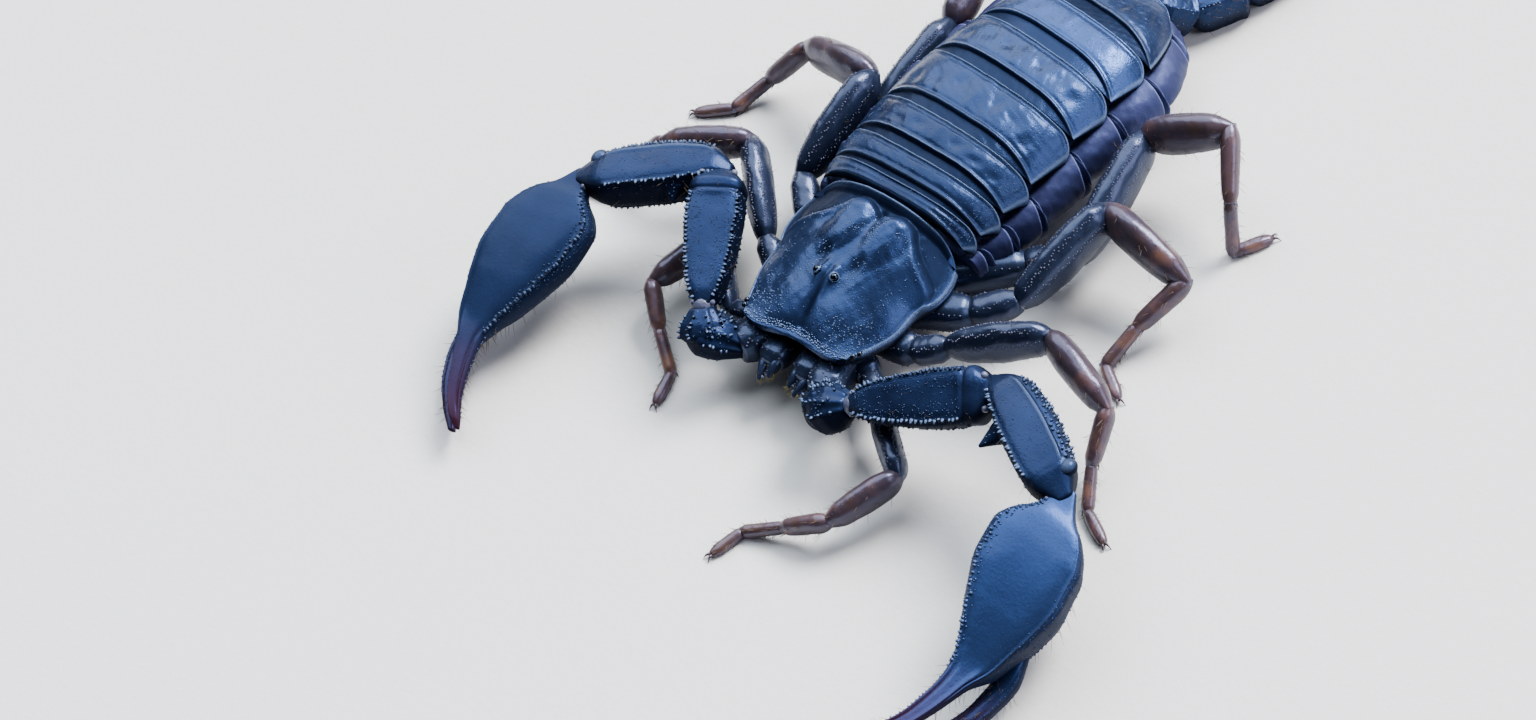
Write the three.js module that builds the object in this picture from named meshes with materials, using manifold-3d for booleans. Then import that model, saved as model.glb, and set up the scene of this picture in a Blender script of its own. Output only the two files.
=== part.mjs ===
// A small European wood scorpion, life size, standing still with both claws held forward.
// Millimetres, +Z up, head toward -Y, the animal's left side toward +X, floor at Z = 0.
import * as THREE from "three";
import { mergeVertices } from "three/addons/utils/BufferGeometryUtils.js";
import Module from "manifold-3d";

const wasm = await Module();
wasm.setup();

const { Vector3 } = THREE;

// Driving sizes of the trunk.
const carapaceLength = 6.35;
const plate = 0.34;
const seam = 0.08;
const bellyHeight = 0.85;
const trunkBend = 0.5;
const bendSpan = 17;

// Gap kept between one limb piece and the next.
const jointGap = 0.09;

// Leg sizes by pair, front to back: femur, patella, tibia, basitarsus, telotarsus.
const legLengths = [
  [3.75, 3.1, 1.95, 1.75, 1.4],
  [4.2, 3.7, 2.2, 1.65, 1.5],
  [4.7, 4.15, 2.5, 1.8, 1.55],
  [5.45, 3.6, 2.8, 2.0, 1.55],
];
const legBuild = [0.8, 0.95, 1.06, 1.08];

// Where each leg's femur starts, measured out from the middle to the leg's own side.
const legRoots = {
  left: [[3.75, 0.2, 1.58], [4.66, 3.42, 2.06], [5.53, 6.56, 2.02], [5.8, 9.6, 1.55]],
  right: [[3.75, 0.2, 1.68], [4.66, 3.42, 2.06], [5.53, 6.56, 2.02], [5.0, 9.75, 1.65]],
};

// Where each coxa ends and the trochanter begins.
const coxaEnds = [
  [2.7, 1.05, 1.5],
  [3.45, 2.75, 1.6],
  [4.1, 5.3, 1.6],
  [4.2, 8.3, 1.4],
];

// Pose of each leg in degrees. Heading 0 is straight ahead, 90 straight out to the
// limb's own side; pitch is up from level. One pair for each of the five segments.
const legPose = {
  left: [
    [[54, 4], [-23, -10], [-63, -20], [-59, -18], [-14, -10]],
    [[119, 15], [73, -10], [7, -47], [30, -15], [62, -9]],
    [[170, 16], [84, -16], [-24, -28], [-11, -18], [57, -9]],
    [[188, 13], [114, 18], [34, -30], [24, -72], [151, -12]],
  ],
  right: [
    [[130, 0], [14, -2], [-47, -22], [-54, -16], [-16, -10]],
    [[134, 13], [60, -4], [76, -50], [10, -22], [75, -9]],
    [[182, 20], [95, -17], [48, -41], [22, -14], [53, -9]],
    [[180, 12], [165, 4], [150, -38], [140, -32], [150, -10]],
  ],
};

// The two claw-bearing arms: femur, patella, and hand with its fingers.
const armLengths = { femur: 5.4, patella: 5.45, hand: 11.0 };
const armPose = {
  left: { root: [4.04, -1.03, 3.1], turn: [[121, 11], [69, 1], [-4, -10]], roll: 9, open: 3 },
  right: { root: [-3.86, -0.76, 3.16], turn: [[147, 9], [59, -2], [-13, -12]], roll: 0, open: 2 },
};
const trochanters = { left: [2.85, -1.42, 2.3], right: [-3.4, -1.4, 2.38] };
const armCoxae = { left: [1.95, -0.75, 1.8], right: [-2.25, -0.85, 1.85] };

// Tail: five rings and the telson, as length, half width, half height, heading, pitch.
const tailRoot = [0.4, 20.5, 2.05];
const tailRings = [
  [1.9, 1.02, 0.94, 142, -37],
  [2.3, 0.96, 0.92, 152, -2],
  [2.7, 0.92, 0.88, 166, -1],
  [3.2, 0.88, 0.86, 183, 0],
  [5.7, 0.84, 0.84, 200, 9],
];
const telsonTurn = { length: 2.7, heading: 212, pitch: 16, girth: 0.82, sting: 2.5 };

const up = new Vector3(0, 0, 1);

const paint = (colour, roughness) =>
  new THREE.MeshStandardMaterial({ color: colour, roughness, metalness: 0 });
const shell = paint(0x17202e, 0.35);
const membrane = paint(0x2a2f45, 0.6);
const legHorn = paint(0x33221d, 0.45);
const fingerHorn = paint(0x2b1418, 0.4);
const eyeBlack = paint(0x06070a, 0.1);

const root = new THREE.Group();

const mix = (a, b, t) => a + (b - a) * t;
const radians = THREE.MathUtils.degToRad;
const bump = (x, centre, width) => Math.exp(-(((x - centre) / width) ** 2));

// Value at y read from a row of [y, value] pairs, with smooth steps between them.
function along(row, y) {
  if (y <= row[0][0]) return row[0][1];
  for (let i = 1; i < row.length; i++) {
    const [y1, v1] = row[i];
    if (y <= y1) {
      const [y0, v0] = row[i - 1];
      const t = (y - y0) / (y1 - y0);
      return mix(v0, v1, t * t * (3 - 2 * t) * 0.5 + t * 0.5);
    }
  }
  return row[row.length - 1][1];
}

// The trunk's slight sideways bend, applied to a point built on a straight axis.
function lean(x, y, z) {
  const k = Math.PI / bendSpan;
  const slope = -trunkBend * k * Math.cos(k * y);
  return new Vector3(x - trunkBend * Math.sin(k * y), y - x * slope, z);
}

// Unit direction of a limb on one side, side being +1 left and -1 right.
function aim(side, heading, pitch) {
  const h = radians(heading);
  const p = radians(pitch);
  return new Vector3(side * Math.sin(h) * Math.cos(p), -Math.cos(h) * Math.cos(p), Math.sin(p));
}

// Closed mesh through a row of rings of equal count. The end rings are closed to their
// centres, or straight across from outside to inside when they are thin arches.
function skin(rings, arched = false) {
  const n = rings[0].length;
  const points = rings.flat();
  const middle = (ring) =>
    ring.reduce((sum, p) => sum.add(p), new Vector3()).multiplyScalar(1 / n);
  const faces = [];
  for (let r = 0; r < rings.length - 1; r++) {
    for (let i = 0; i < n; i++) {
      const a = r * n + i;
      const b = r * n + ((i + 1) % n);
      faces.push(a, b, b + n, a, b + n, a + n);
    }
  }
  const last = (rings.length - 1) * n;
  if (arched) {
    for (let i = 0; i < n / 2 - 1; i++) {
      const [a, b, c, d] = [i, i + 1, n - 2 - i, n - 1 - i];
      faces.push(c, b, a, d, c, a, last + a, last + b, last + c, last + a, last + c, last + d);
    }
  } else {
    points.push(middle(rings[0]), middle(rings[rings.length - 1]));
    for (let i = 0; i < n; i++) {
      const j = (i + 1) % n;
      faces.push(points.length - 2, j, i, points.length - 1, last + i, last + j);
    }
  }
  const geometry = new THREE.BufferGeometry().setFromPoints(points);
  geometry.setIndex(faces);
  return outward(geometry);
}

// Turns the faces round when the enclosed volume comes out negative.
function outward(geometry) {
  const p = geometry.attributes.position;
  const index = geometry.index.array;
  const [a, b, c] = [new Vector3(), new Vector3(), new Vector3()];
  let volume = 0;
  for (let i = 0; i < index.length; i += 3) {
    a.fromBufferAttribute(p, index[i]);
    b.fromBufferAttribute(p, index[i + 1]);
    c.fromBufferAttribute(p, index[i + 2]);
    volume += a.dot(b.cross(c));
  }
  if (volume < 0) {
    for (let i = 0; i < index.length; i += 3) {
      [index[i + 1], index[i + 2]] = [index[i + 2], index[i + 1]];
    }
  }
  return geometry;
}

function solid(geometry) {
  const bare = geometry.clone();
  bare.deleteAttribute("normal");
  bare.deleteAttribute("uv");
  const merged = mergeVertices(bare, 1e-5);
  return new wasm.Manifold(
    new wasm.Mesh({
      numProp: 3,
      vertProperties: new Float32Array(merged.attributes.position.array),
      triVerts: new Uint32Array(merged.index.array),
    }),
  );
}

const joined = (...parts) => parts.reduce((a, b) => a.add(b));
const without = (body, ...cutters) => cutters.reduce((a, b) => a.subtract(b), body);

// Adds one named piece, its own origin at the given point.
function piece(name, body, material, origin = [0, 0, 0]) {
  const mesh = body.getMesh();
  const geometry = new THREE.BufferGeometry();
  const at = new Vector3(...(origin.isVector3 ? origin.toArray() : origin));
  geometry.setAttribute("position", new THREE.BufferAttribute(mesh.vertProperties, 3));
  geometry.setIndex(new THREE.BufferAttribute(mesh.triVerts, 1));
  geometry.translate(-at.x, -at.y, -at.z);
  geometry.computeVertexNormals();
  const node = new THREE.Mesh(geometry, material);
  node.name = name;
  node.position.copy(at);
  root.add(node);
}

// Rounded ring about a centre: half sizes out, in, high and low, squareness by corner.
function ring(count, centre, out, lift, size, square = 2, phase = 0) {
  const points = [];
  for (let i = 0; i < count; i++) {
    const a = ((i + phase) / count) * Math.PI * 2;
    const c = Math.cos(a);
    const s = Math.sin(a);
    const [high, low] = c > 0 ? [size.keel] : [size.ridge, size.hollow];
    const corner = (s > 0 ? high : low) ?? square;
    const x = Math.sign(c) * Math.abs(c) ** (2 / corner) * (c > 0 ? size.out : size.in);
    const z = Math.sign(s) * Math.abs(s) ** (2 / corner) * (s > 0 ? size.high : size.low);
    points.push(centre.clone().addScaledVector(out, x).addScaledVector(lift, z));
  }
  return points;
}

// Tapering limb piece along two or more knots. Rows are place along the knots, 0 at the
// first and 1 at the second, then half sizes out, in, high and low, and shifts out and up.
function limb(knots, side, rows, options = {}) {
  const { grow = 0, count = 8, square = 2.3, roll = 0, keel, ridge, hollow, floor = false } = options;
  const stretch = knots.slice(1).map((knot, i) => knot.clone().sub(knots[i]));
  const rings = rows.map(([place, o, i, h, l, so = 0, su = 0], k) => {
    const span = THREE.MathUtils.clamp(Math.floor(place), 0, stretch.length - 1);
    const dir = stretch[span].clone().normalize();
    if (place === span && span > 0) dir.add(stretch[span - 1].clone().normalize()).normalize();
    const outFlat = new Vector3().crossVectors(up, dir).multiplyScalar(side).normalize();
    const liftFlat = up.clone().addScaledVector(dir, -up.dot(dir)).normalize();
    const [c, s] = [Math.cos(radians(roll)), Math.sin(radians(roll))];
    const out = outFlat.clone().multiplyScalar(c).addScaledVector(liftFlat, -s);
    const lift = liftFlat.clone().multiplyScalar(c).addScaledVector(outFlat, s);
    const extra = k === 0 ? -grow : k === rows.length - 1 ? grow : 0;
    const centre = knots[span]
      .clone()
      .addScaledVector(stretch[span], place - span)
      .addScaledVector(dir, extra)
      .addScaledVector(out, so)
      .addScaledVector(lift, su);
    const size = { out: o + grow, in: i + grow, high: h + grow, low: l + grow };
    Object.assign(size, { keel, ridge, hollow });
    return ring(count, centre, out, lift, size, square, 0.5);
  });
  if (floor) rings.flat().forEach((p) => (p.z = Math.max(p.z, -grow)));
  return solid(skin(rings));
}

const even = (rows) => rows.map(([share, w, h]) => [share, w, w, h, h]);
const sized = (rows, k) => rows.map(([share, ...rest]) => [share, ...rest.map((v) => v * k)]);

// Shapes of the limb pieces, all with domed ends. The femur rows start on the trochanter.
const legFemur = even([
  [-0.08, 0.36, 0.38], [0.2, 0.58, 0.62], [0.7, 0.55, 0.6], [1.0, 0.42, 0.5],
  [1.15, 0.56, 0.84], [1.5, 0.64, 0.98], [1.88, 0.6, 0.88], [2.03, 0.26, 0.34],
]);
const legPatella = even([
  [-0.02, 0.3, 0.38], [0.07, 0.52, 0.68], [0.38, 0.62, 0.86], [0.8, 0.56, 0.74], [1.02, 0.24, 0.32],
]);
const legFoot = even([
  [-0.05, 0.22, 0.28], [0.18, 0.36, 0.44], [0.85, 0.32, 0.38], [1, 0.26, 0.29],
  [1.85, 0.27, 0.29], [2, 0.24, 0.26], [2.75, 0.26, 0.23], [3.12, 0.12, 0.1],
]);
const armFemur = [
  [-0.03, 0.4, 0.4, 0.4, 0.4, 0, 0], [0.05, 0.75, 0.7, 0.6, 0.65, 0, 0],
  [0.2, 1.0, 1.0, 0.75, 0.9, 0, 0], [0.6, 1.1, 1.15, 0.85, 1.05, 0, 0],
  [0.88, 1.05, 1.1, 0.85, 1.0, 0, 0], [1.0, 0.8, 0.8, 0.65, 0.75, 0, 0],
  [1.06, 0.35, 0.35, 0.3, 0.3, 0, 0],
];
const armPatella = [
  [-0.07, 0.4, 0.3, 0.4, 0.5, 0.3, 0], [0.02, 0.95, 0.5, 0.65, 0.75, 0.4, 0],
  [0.16, 1.2, 0.75, 0.78, 0.95, 0.35, 0], [0.45, 1.2, 0.95, 0.85, 1.1, 0.2, 0],
  [0.78, 1.1, 0.95, 0.8, 1.0, 0, 0], [0.94, 0.8, 0.75, 0.6, 0.7, 0, 0],
  [1.04, 0.4, 0.4, 0.35, 0.35, 0, 0],
];
// The hand: rows of share, outer edge, inner edge, top and bottom from the wrist's axis.
const handOutline = [
  [-0.02, 0.4, -0.34, 0.2, -0.4], [0.045, 0.8, -0.45, 0.3, -0.8],
  [0.09, 1.85, -1.02, 0.48, -1.4], [0.2, 2.6, -1.36, 0.58, -2.05],
  [0.31, 2.85, -1.15, 0.54, -2.32], [0.42, 2.8, -0.56, 0.42, -2.3],
  [0.52, 2.58, 0.1, 0.26, -2.08], [0.61, 2.36, 0.68, 0.1, -1.5],
  [0.7, 1.95, 0.96, 0.02, -0.84], [0.85, 1.5, 0.8, -0.06, -0.74],
  [0.97, 0.8, 0.3, -0.14, -0.62], [1.0, 0.44, 0.16, -0.24, -0.5],
];
const fingerOutline = [
  [0.48, 2.3, 1.6, -1.2, -1.9], [0.59, 2.62, 1.72, -1.2, -2.2],
  [0.7, 2.55, 1.7, -1.12, -1.95], [0.82, 2.15, 1.4, -0.98, -1.65],
  [0.93, 1.4, 0.78, -0.86, -1.35], [1.0, 0.66, 0.3, -0.76, -1.05],
];

// Rows of edges turned into half sizes, widest at the given share down from the top.
const fromEdges = (rows, level = 0.5) =>
  rows.map(([share, outer, inner, top, bottom]) => {
    const w = (outer - inner) / 2;
    const high = (top - bottom) * level;
    const low = (top - bottom) * (1 - level);
    return [share, w, w, high, low, (outer + inner) / 2, top - high];
  });

// Trunk widths, edge heights and crest heights along the back.
const carapaceHalf = [
  [0, 2.4], [1.2, 2.88], [2.1, 3.12], [3.3, 3.25], [4.3, 3.52], [5.3, 3.48], [6.35, 3.3],
];
const carapaceEdge = [[0, 3.05], [1.2, 2.72], [2.2, 2.6], [4.3, 2.65], [6.35, 2.85]];
const carapaceCrest = [[0, 3.1], [0.8, 3.45], [2.6, 3.98], [4.6, 4.45], [6.35, 4.62]];
const backHalf = [
  [6.4, 3.6], [7.3, 3.82], [8.6, 3.95], [10.3, 4.02], [12.9, 3.95],
  [15.2, 3.75], [17.5, 3.42], [19.3, 2.6], [20.5, 1.5],
];
const flankBulge = [
  [6.5, 0.1], [8.6, 0.3], [12.9, 0.45], [15.2, 0.6], [17.5, 0.75], [19.3, 0.55], [20.4, 0.1],
];
const backEdge = [
  [6.4, 2.9], [7.3, 2.98], [10.3, 3.2], [12.9, 3.38], [15.2, 3.35], [17.5, 3.1], [20.5, 2.2],
];
const backCrest = [
  [6.4, 4.6], [8.6, 4.8], [10.3, 4.88], [12.9, 4.86], [15.2, 4.62], [17.5, 4.25], [20.5, 2.95],
];
const tergiteRear = [7.3, 8.62, 10.3, 12.9, 15.2, 17.5, 20.45];

// Carapace: a shield with a raised eye hill, a groove along the middle and rear lobes.
function carapaceTop(x, y) {
  const w = along(carapaceHalf, y);
  const edge = along(carapaceEdge, y);
  const t = Math.min(1, Math.abs(x) / w);
  const dome = (1 - t ** 2.4) ** 0.85;
  let z = edge + (along(carapaceCrest, y) - edge) * dome;
  z += 0.16 * bump(x, 0, 0.42) * bump(y, 2.5, 0.6);
  z -= 0.1 * bump(x, 0, 0.16) * (bump(y, 1.0, 0.9) + bump(y, 4.6, 0.9));
  z += 0.1 * bump(Math.abs(x), 0.95, 0.55) * bump(y, 5.35, 0.7);
  z -= 0.12 * bump(Math.abs(x), 1.75, 0.3) * bump(y, 4.9, 0.9);
  return z;
}

function carapace(grow = 0) {
  const steps = [-0.02, 0.25, 1.1, 2.0, 2.75, 3.6, 4.6, 5.4, 6.1, carapaceLength];
  const across = [1, 0.93, 0.74, 0.5, 0.28, 0.12, 0];
  const spread = [...across, ...across.slice(0, -1).reverse().map((v) => -v)];
  const rings = steps.map((y, k) => {
    const end = k === 0 ? -grow : k === steps.length - 1 ? grow : 0;
    const inset = k === 0 ? 0.1 : k === steps.length - 1 ? 0.06 : 0;
    const w = along(carapaceHalf, y) - inset;
    const edge = along(carapaceEdge, y);
    const notch = 0.32 * bump(y, 0, 0.5);
    const top = spread.map((s) => {
      const x = s * w;
      const back = notch * bump(x, 0, 0.7) + (k === 0 ? 0.25 * Math.abs(s) ** 6 : 0);
      return lean(x + Math.sign(s) * grow, y + end + back, carapaceTop(x, y) - inset + grow);
    });
    const low = edge - 0.42 - grow;
    const under = [-0.97, 0, 0.97].map((s) => {
      const back = notch * bump(s * w, 0, 0.7);
      return lean(s * w, y + end + back, low);
    });
    return [...top, ...under];
  });
  return solid(skin(rings));
}

// Height of the back's plates over the half-width share s, and the same drawn in by d.
function backPoint(s, y, d = 0) {
  const w = along(backHalf, y) - d * 0.9;
  const edge = along(backEdge, y);
  const crest = along(backCrest, y) - d;
  const dome = (1 - Math.abs(s) ** 3.2) ** 0.75;
  return lean(s * w, y, edge + (crest - edge) * dome);
}

const backSpread = [1, 0.94, 0.8, 0.58, 0.3, 0, -0.3, -0.58, -0.8, -0.94, -1];

function tergite(k) {
  const front = (k === 0 ? carapaceLength + 0.12 : tergiteRear[k - 1] + seam);
  const rear = tergiteRear[k];
  const shares = [0, 0.9, 1];
  const rise = [-0.06, 0.03, -0.04];
  const rings = shares.map((t, i) => {
    const y = mix(front, rear, t);
    const trim = 1 - 0.06 * (1 - t) * (k < 6 ? 1 : 0.3);
    const outer = backSpread.map((s) => {
      const p = backPoint(s * trim, y);
      p.z += rise[i] * (1 - Math.abs(s) ** 8);
      return p;
    });
    const inner = [...backSpread].reverse().map((s) => {
      const p = backPoint(s * trim, y, plate);
      p.z -= 0.06 * Math.abs(s) ** 4;
      return p;
    });
    return [...outer, ...inner];
  });
  return solid(skin(rings, true));
}

// Soft trunk under the plates: side membranes and belly plates as one body.
function trunk() {
  const steps = [6.5, 7.3, 8.6, 10.3, 12.9, 15.2, 17.5, 19.0, 20.35];
  const rings = steps.map((y, k) => {
    const w = along(backHalf, y);
    const edge = along(backEdge, y);
    const tuck = k === 0 ? 0.4 : 0;
    const bulge = along(flankBulge, y);
    const top = [0.9, 0.6, 0.3, 0, -0.3, -0.6, -0.9].map((s) => {
      const p = backPoint(s, y, plate + 0.12);
      p.z -= 0.1 + tuck * 0.3;
      return p;
    });
    const low = along([[6.5, 1.0], [8, bellyHeight], [17.5, bellyHeight], [20.35, 1.25]], y);
    const sideOf = (sign) => [
      [w - 0.3, edge - 0.34], [w + bulge * 0.5, edge - 0.44], [w + bulge, mix(low, edge, 0.45)],
      [w + bulge * 0.3 - 0.2, low + 0.35], [w * 0.8, low + 0.08], [w * 0.45, low],
    ].map(([x, z]) => lean(sign * (x - tuck), y, z));
    return [...top, ...sideOf(-1), lean(0, y, low), ...sideOf(1).reverse()];
  });
  return solid(skin(rings));
}

const vec = (list) => new Vector3(...list);
const mirrored = (list, side) => new Vector3(list[0] * side, list[1], list[2]);

// Blunt-ended bar between two points, tapering from one radius to the other.
function bar(a, b, r0, r1, grow = 0, count = 6) {
  const rows = [[-0.12, r0 * 0.55], [0.1, r0], [0.9, r1], [1.12, r1 * 0.55]];
  return limb([a, b], 1, even(rows.map(([t, r]) => [t, r, r])), { grow, count });
}

// Head shield and eyes.
const headSolid = carapace();
piece("carapace", headSolid, shell, lean(0, 3, 3));
for (const [side, word] of [[1, "left"], [-1, "right"]]) {
  const spot = lean(side * 0.33, 2.5, carapaceTop(0.33, 2.5) + 0.02);
  const ball = new THREE.SphereGeometry(0.16, 7, 5);
  ball.translate(spot.x, spot.y, spot.z);
  piece(`eye_median_${word}`, without(solid(ball), carapace(0.01)), eyeBlack, spot);
  const beads = [0.45, 0.7].map((y) => {
    const w = along(carapaceHalf, y);
    const at = lean(side * (w - 0.02), y, along(carapaceEdge, y) + 0.12);
    const bead = new THREE.SphereGeometry(0.15, 6, 4);
    bead.scale(1, 1.7, 1);
    bead.translate(at.x, at.y, at.z);
    return solid(bead);
  });
  const lateral = without(joined(...beads), carapace(0.01));
  piece(`eyes_lateral_${word}`, lateral, eyeBlack, lean(side * 2.5, 0.6, 3));
}

// Mouth pincers under the front edge.
const cheliceraCut = [];
for (const [side, word] of [[1, "left"], [-1, "right"]]) {
  const make = (grow) => {
    const base = lean(side * 0.72, 1.0, 1.7);
    const tip = lean(side * 0.8, -0.75, 1.95);
    const body = limb([base, tip], side, even([
      [-0.05, 0.4, 0.35], [0.15, 0.58, 0.5], [0.85, 0.62, 0.56], [1.03, 0.35, 0.35],
    ]), { grow, count: 8 });
    const outer = bar(lean(side * 1.05, -0.5, 1.9), lean(side * 0.82, -1.5, 1.7), 0.26, 0.2, grow, 5);
    const inner = bar(lean(side * 0.5, -0.5, 2.0), lean(side * 0.48, -1.3, 1.8), 0.26, 0.2, grow, 5);
    return joined(body, outer, inner);
  };
  piece(`chelicera_${word}`, make(0), shell, lean(side * 0.72, 1, 2));
  cheliceraCut.push(make(jointGap));
}

// Underside of the head with the eight leg coxae around the breastplate.
function coxaBar(k, side, grow = 0) {
  const from = lean(side * 0.9, [1.7, 2.5, 3.5, 4.4][k], 1.5);
  const to = mirrored(coxaEnds[k], side);
  const size = [0.62, 0.68, 0.74, 0.78][k];
  return bar(from, to, size * 1.06, size * 0.92, grow, 5);
}

function headCore(grow = 0) {
  const steps = [0.55, 1.5, 3.2, 4.8, 6.35];
  const rings = steps.map((y, k) => {
    const w = along(carapaceHalf, y) - (k === 0 ? 0.8 : 0.3);
    const edge = along(carapaceEdge, y) - 0.42 - seam;
    const low = k === 0 ? 1.75 : 1.0;
    const flank = mix(low, edge, 0.45);
    const end = k === 0 ? -grow : k === steps.length - 1 ? grow : 0;
    return [
      [w - 0.3, edge, 1], [0.3 - w, edge, 1], [-w, edge - 0.2, 1], [-w, flank, -1],
      [0.5 - w, low + 0.2, -1], [-1, low, -1], [1, low, -1], [w - 0.5, low + 0.2, -1],
      [w, flank, -1], [w, edge - 0.2, 1],
    ].map(([x, z, way]) => lean(x + Math.sign(x) * grow, y + end, z + way * grow));
  });
  return solid(skin(rings));
}

const sides = [[1, "left"], [-1, "right"]];
const coxaSolids = sides.flatMap(([side]) => [0, 1, 2, 3].map((k) => coxaBar(k, side)));
const coxaCuts = sides.flatMap(([side]) => [0, 1, 2, 3].map((k) => coxaBar(k, side, jointGap)));
const breast = joined(headCore(), ...coxaSolids);
const breastGrown = joined(headCore(jointGap), ...coxaCuts);
const underHead = without(breast, ...cheliceraCut, carapace(seam));
piece("coxosternum", underHead, shell, lean(0, 3, 1.2));

// Legs: femur with its trochanter, patella, then shin and foot in one piece.
const legCuts = [];
function leg(k, side, word) {
  const girth = legBuild[k];
  const footGirth = Math.max(girth, 1);
  const pose = legPose[word][k];
  const lengths = legLengths[k];
  const knots = [mirrored(legRoots[word][k], side)];
  pose.forEach(([heading, pitch], i) => {
    knots.push(knots[i].clone().addScaledVector(aim(side, heading, pitch), lengths[i]));
  });
  // The foot is set down level: its last two knots are lifted or lowered to stand on the floor.
  knots[4].z = 0.2 * footGirth;
  knots[5].z = 0.13 * footGirth;
  const rooted = [mirrored(coxaEnds[k], side), knots[0], knots[1]];
  const femur = (grow) => limb(rooted, side, sized(legFemur, girth), { grow });
  const knee = (grow) => limb([knots[1], knots[2]], side, sized(legPatella, girth), { grow });
  const foot = limb(knots.slice(2), side, sized(legFoot, footGirth), { floor: true });
  const name = `leg_${word}_${k + 1}`;
  const ahead = k > 0 ? [legCuts[legCuts.length - 1]] : [];
  piece(`${name}_femur`, without(femur(0), breastGrown, ...ahead), legHorn, knots[0]);
  piece(`${name}_patella`, without(knee(0), femur(jointGap)), legHorn, knots[1]);
  piece(`${name}_tarsus`, without(foot, knee(jointGap)), legHorn, knots[2]);
  legCuts.push(femur(jointGap));
}
for (const [side, word] of sides) {
  for (let k = 0; k < 4; k++) leg(k, side, word);
}

// Back plates and the soft trunk below them.
for (let k = 0; k < 7; k++) {
  piece(`tergite_${k + 1}`, tergite(k), shell, lean(0, tergiteRear[k] - 0.6, 4));
}
piece("trunk", without(trunk(), breastGrown, ...legCuts), membrane, lean(0, 12, 2));

// Combs under the front of the belly.
for (const [side, word] of sides) {
  const outline = new THREE.Shape();
  const teeth = 7;
  const pitch = 0.38;
  outline.moveTo(0, 0.55);
  outline.lineTo(0, 0);
  for (let i = 0; i < teeth; i++) {
    outline.lineTo(i * pitch + 0.02, -0.5);
    outline.lineTo(i * pitch + pitch * 0.72, -0.5);
    outline.lineTo(i * pitch + pitch * 0.86, 0);
    if (i < teeth - 1) outline.lineTo((i + 1) * pitch - 0.02, 0);
  }
  outline.lineTo(teeth * pitch, 0.4);
  const comb = new THREE.ExtrudeGeometry(outline, { depth: 0.3, bevelEnabled: false });
  comb.rotateZ(-0.3);
  comb.rotateX(Math.PI);
  if (side < 0) comb.applyMatrix4(new THREE.Matrix4().makeScale(-1, 1, 1));
  const at = lean(side * 0.35, 7.75, 0.72);
  comb.translate(at.x, at.y, at.z);
  const body = solid(outward(mergeVertices(stripped(comb), 1e-5)));
  piece(`pectine_${word}`, body, shell, at);
}

function stripped(geometry) {
  geometry.deleteAttribute("normal");
  geometry.deleteAttribute("uv");
  return geometry;
}

// Tail rings and telson.
const tailKnots = [vec(tailRoot)];
tailRings.forEach(([length, , , heading, pitch], i) => {
  tailKnots.push(tailKnots[i].clone().addScaledVector(aim(1, heading, pitch), length));
});
function tailRing(i, grow = 0) {
  const [, w, h] = tailRings[i];
  const rows = even([
    [-0.06, w * 0.5, h * 0.5], [0.06, w * 0.84, h * 0.86], [0.4, w, h],
    [0.92, w * 0.97, h * 0.97], [1, w * 0.72, h * 0.72],
  ]);
  const ends = [tailKnots[i], tailKnots[i + 1]];
  return limb(ends, 1, rows, { grow, count: 8, square: 3, floor: true });
}
tailRings.forEach((row, i) => {
  const before = i === 0 ? [trunk(), tergiteBlock()] : [tailRing(i - 1, jointGap)];
  piece(`metasoma_${i + 1}`, without(tailRing(i), ...before), shell, tailKnots[i]);
});

// The last back plate and trunk end with a margin, for the first tail ring to stop against.
function tergiteBlock() {
  const rings = [19.2, 20.0, 20.55 + jointGap].map((y) => {
    const w = along(backHalf, y) + jointGap;
    const high = along(backCrest, y) + jointGap;
    return ring(16, lean(0, y, 1.9), new Vector3(1, 0, 0), up, {
      out: w, in: w, high: high - 1.9, low: 1.1,
    });
  });
  return solid(skin(rings));
}

function telson() {
  const { length, heading, pitch, girth, sting } = telsonTurn;
  const knots = [tailKnots[5]];
  knots.push(knots[0].clone().addScaledVector(aim(1, heading, pitch), length));
  for (const drop of [25, -5, -35]) {
    knots.push(knots[knots.length - 1].clone().addScaledVector(aim(1, heading, drop), sting / 3));
  }
  return limb(knots, 1, even([
    [-0.05, 0.3, 0.3], [0.1, girth * 0.74, girth * 0.7], [0.35, girth * 0.98, girth * 0.95],
    [0.65, girth, girth * 0.96], [0.9, girth * 0.66, girth * 0.62], [1.3, 0.3, 0.3],
    [2, 0.26, 0.26], [3, 0.25, 0.25], [4, 0.2, 0.2],
  ]), { count: 8 });
}
piece("telson", without(telson(), tailRing(4, jointGap)), shell, tailKnots[5]);

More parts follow.
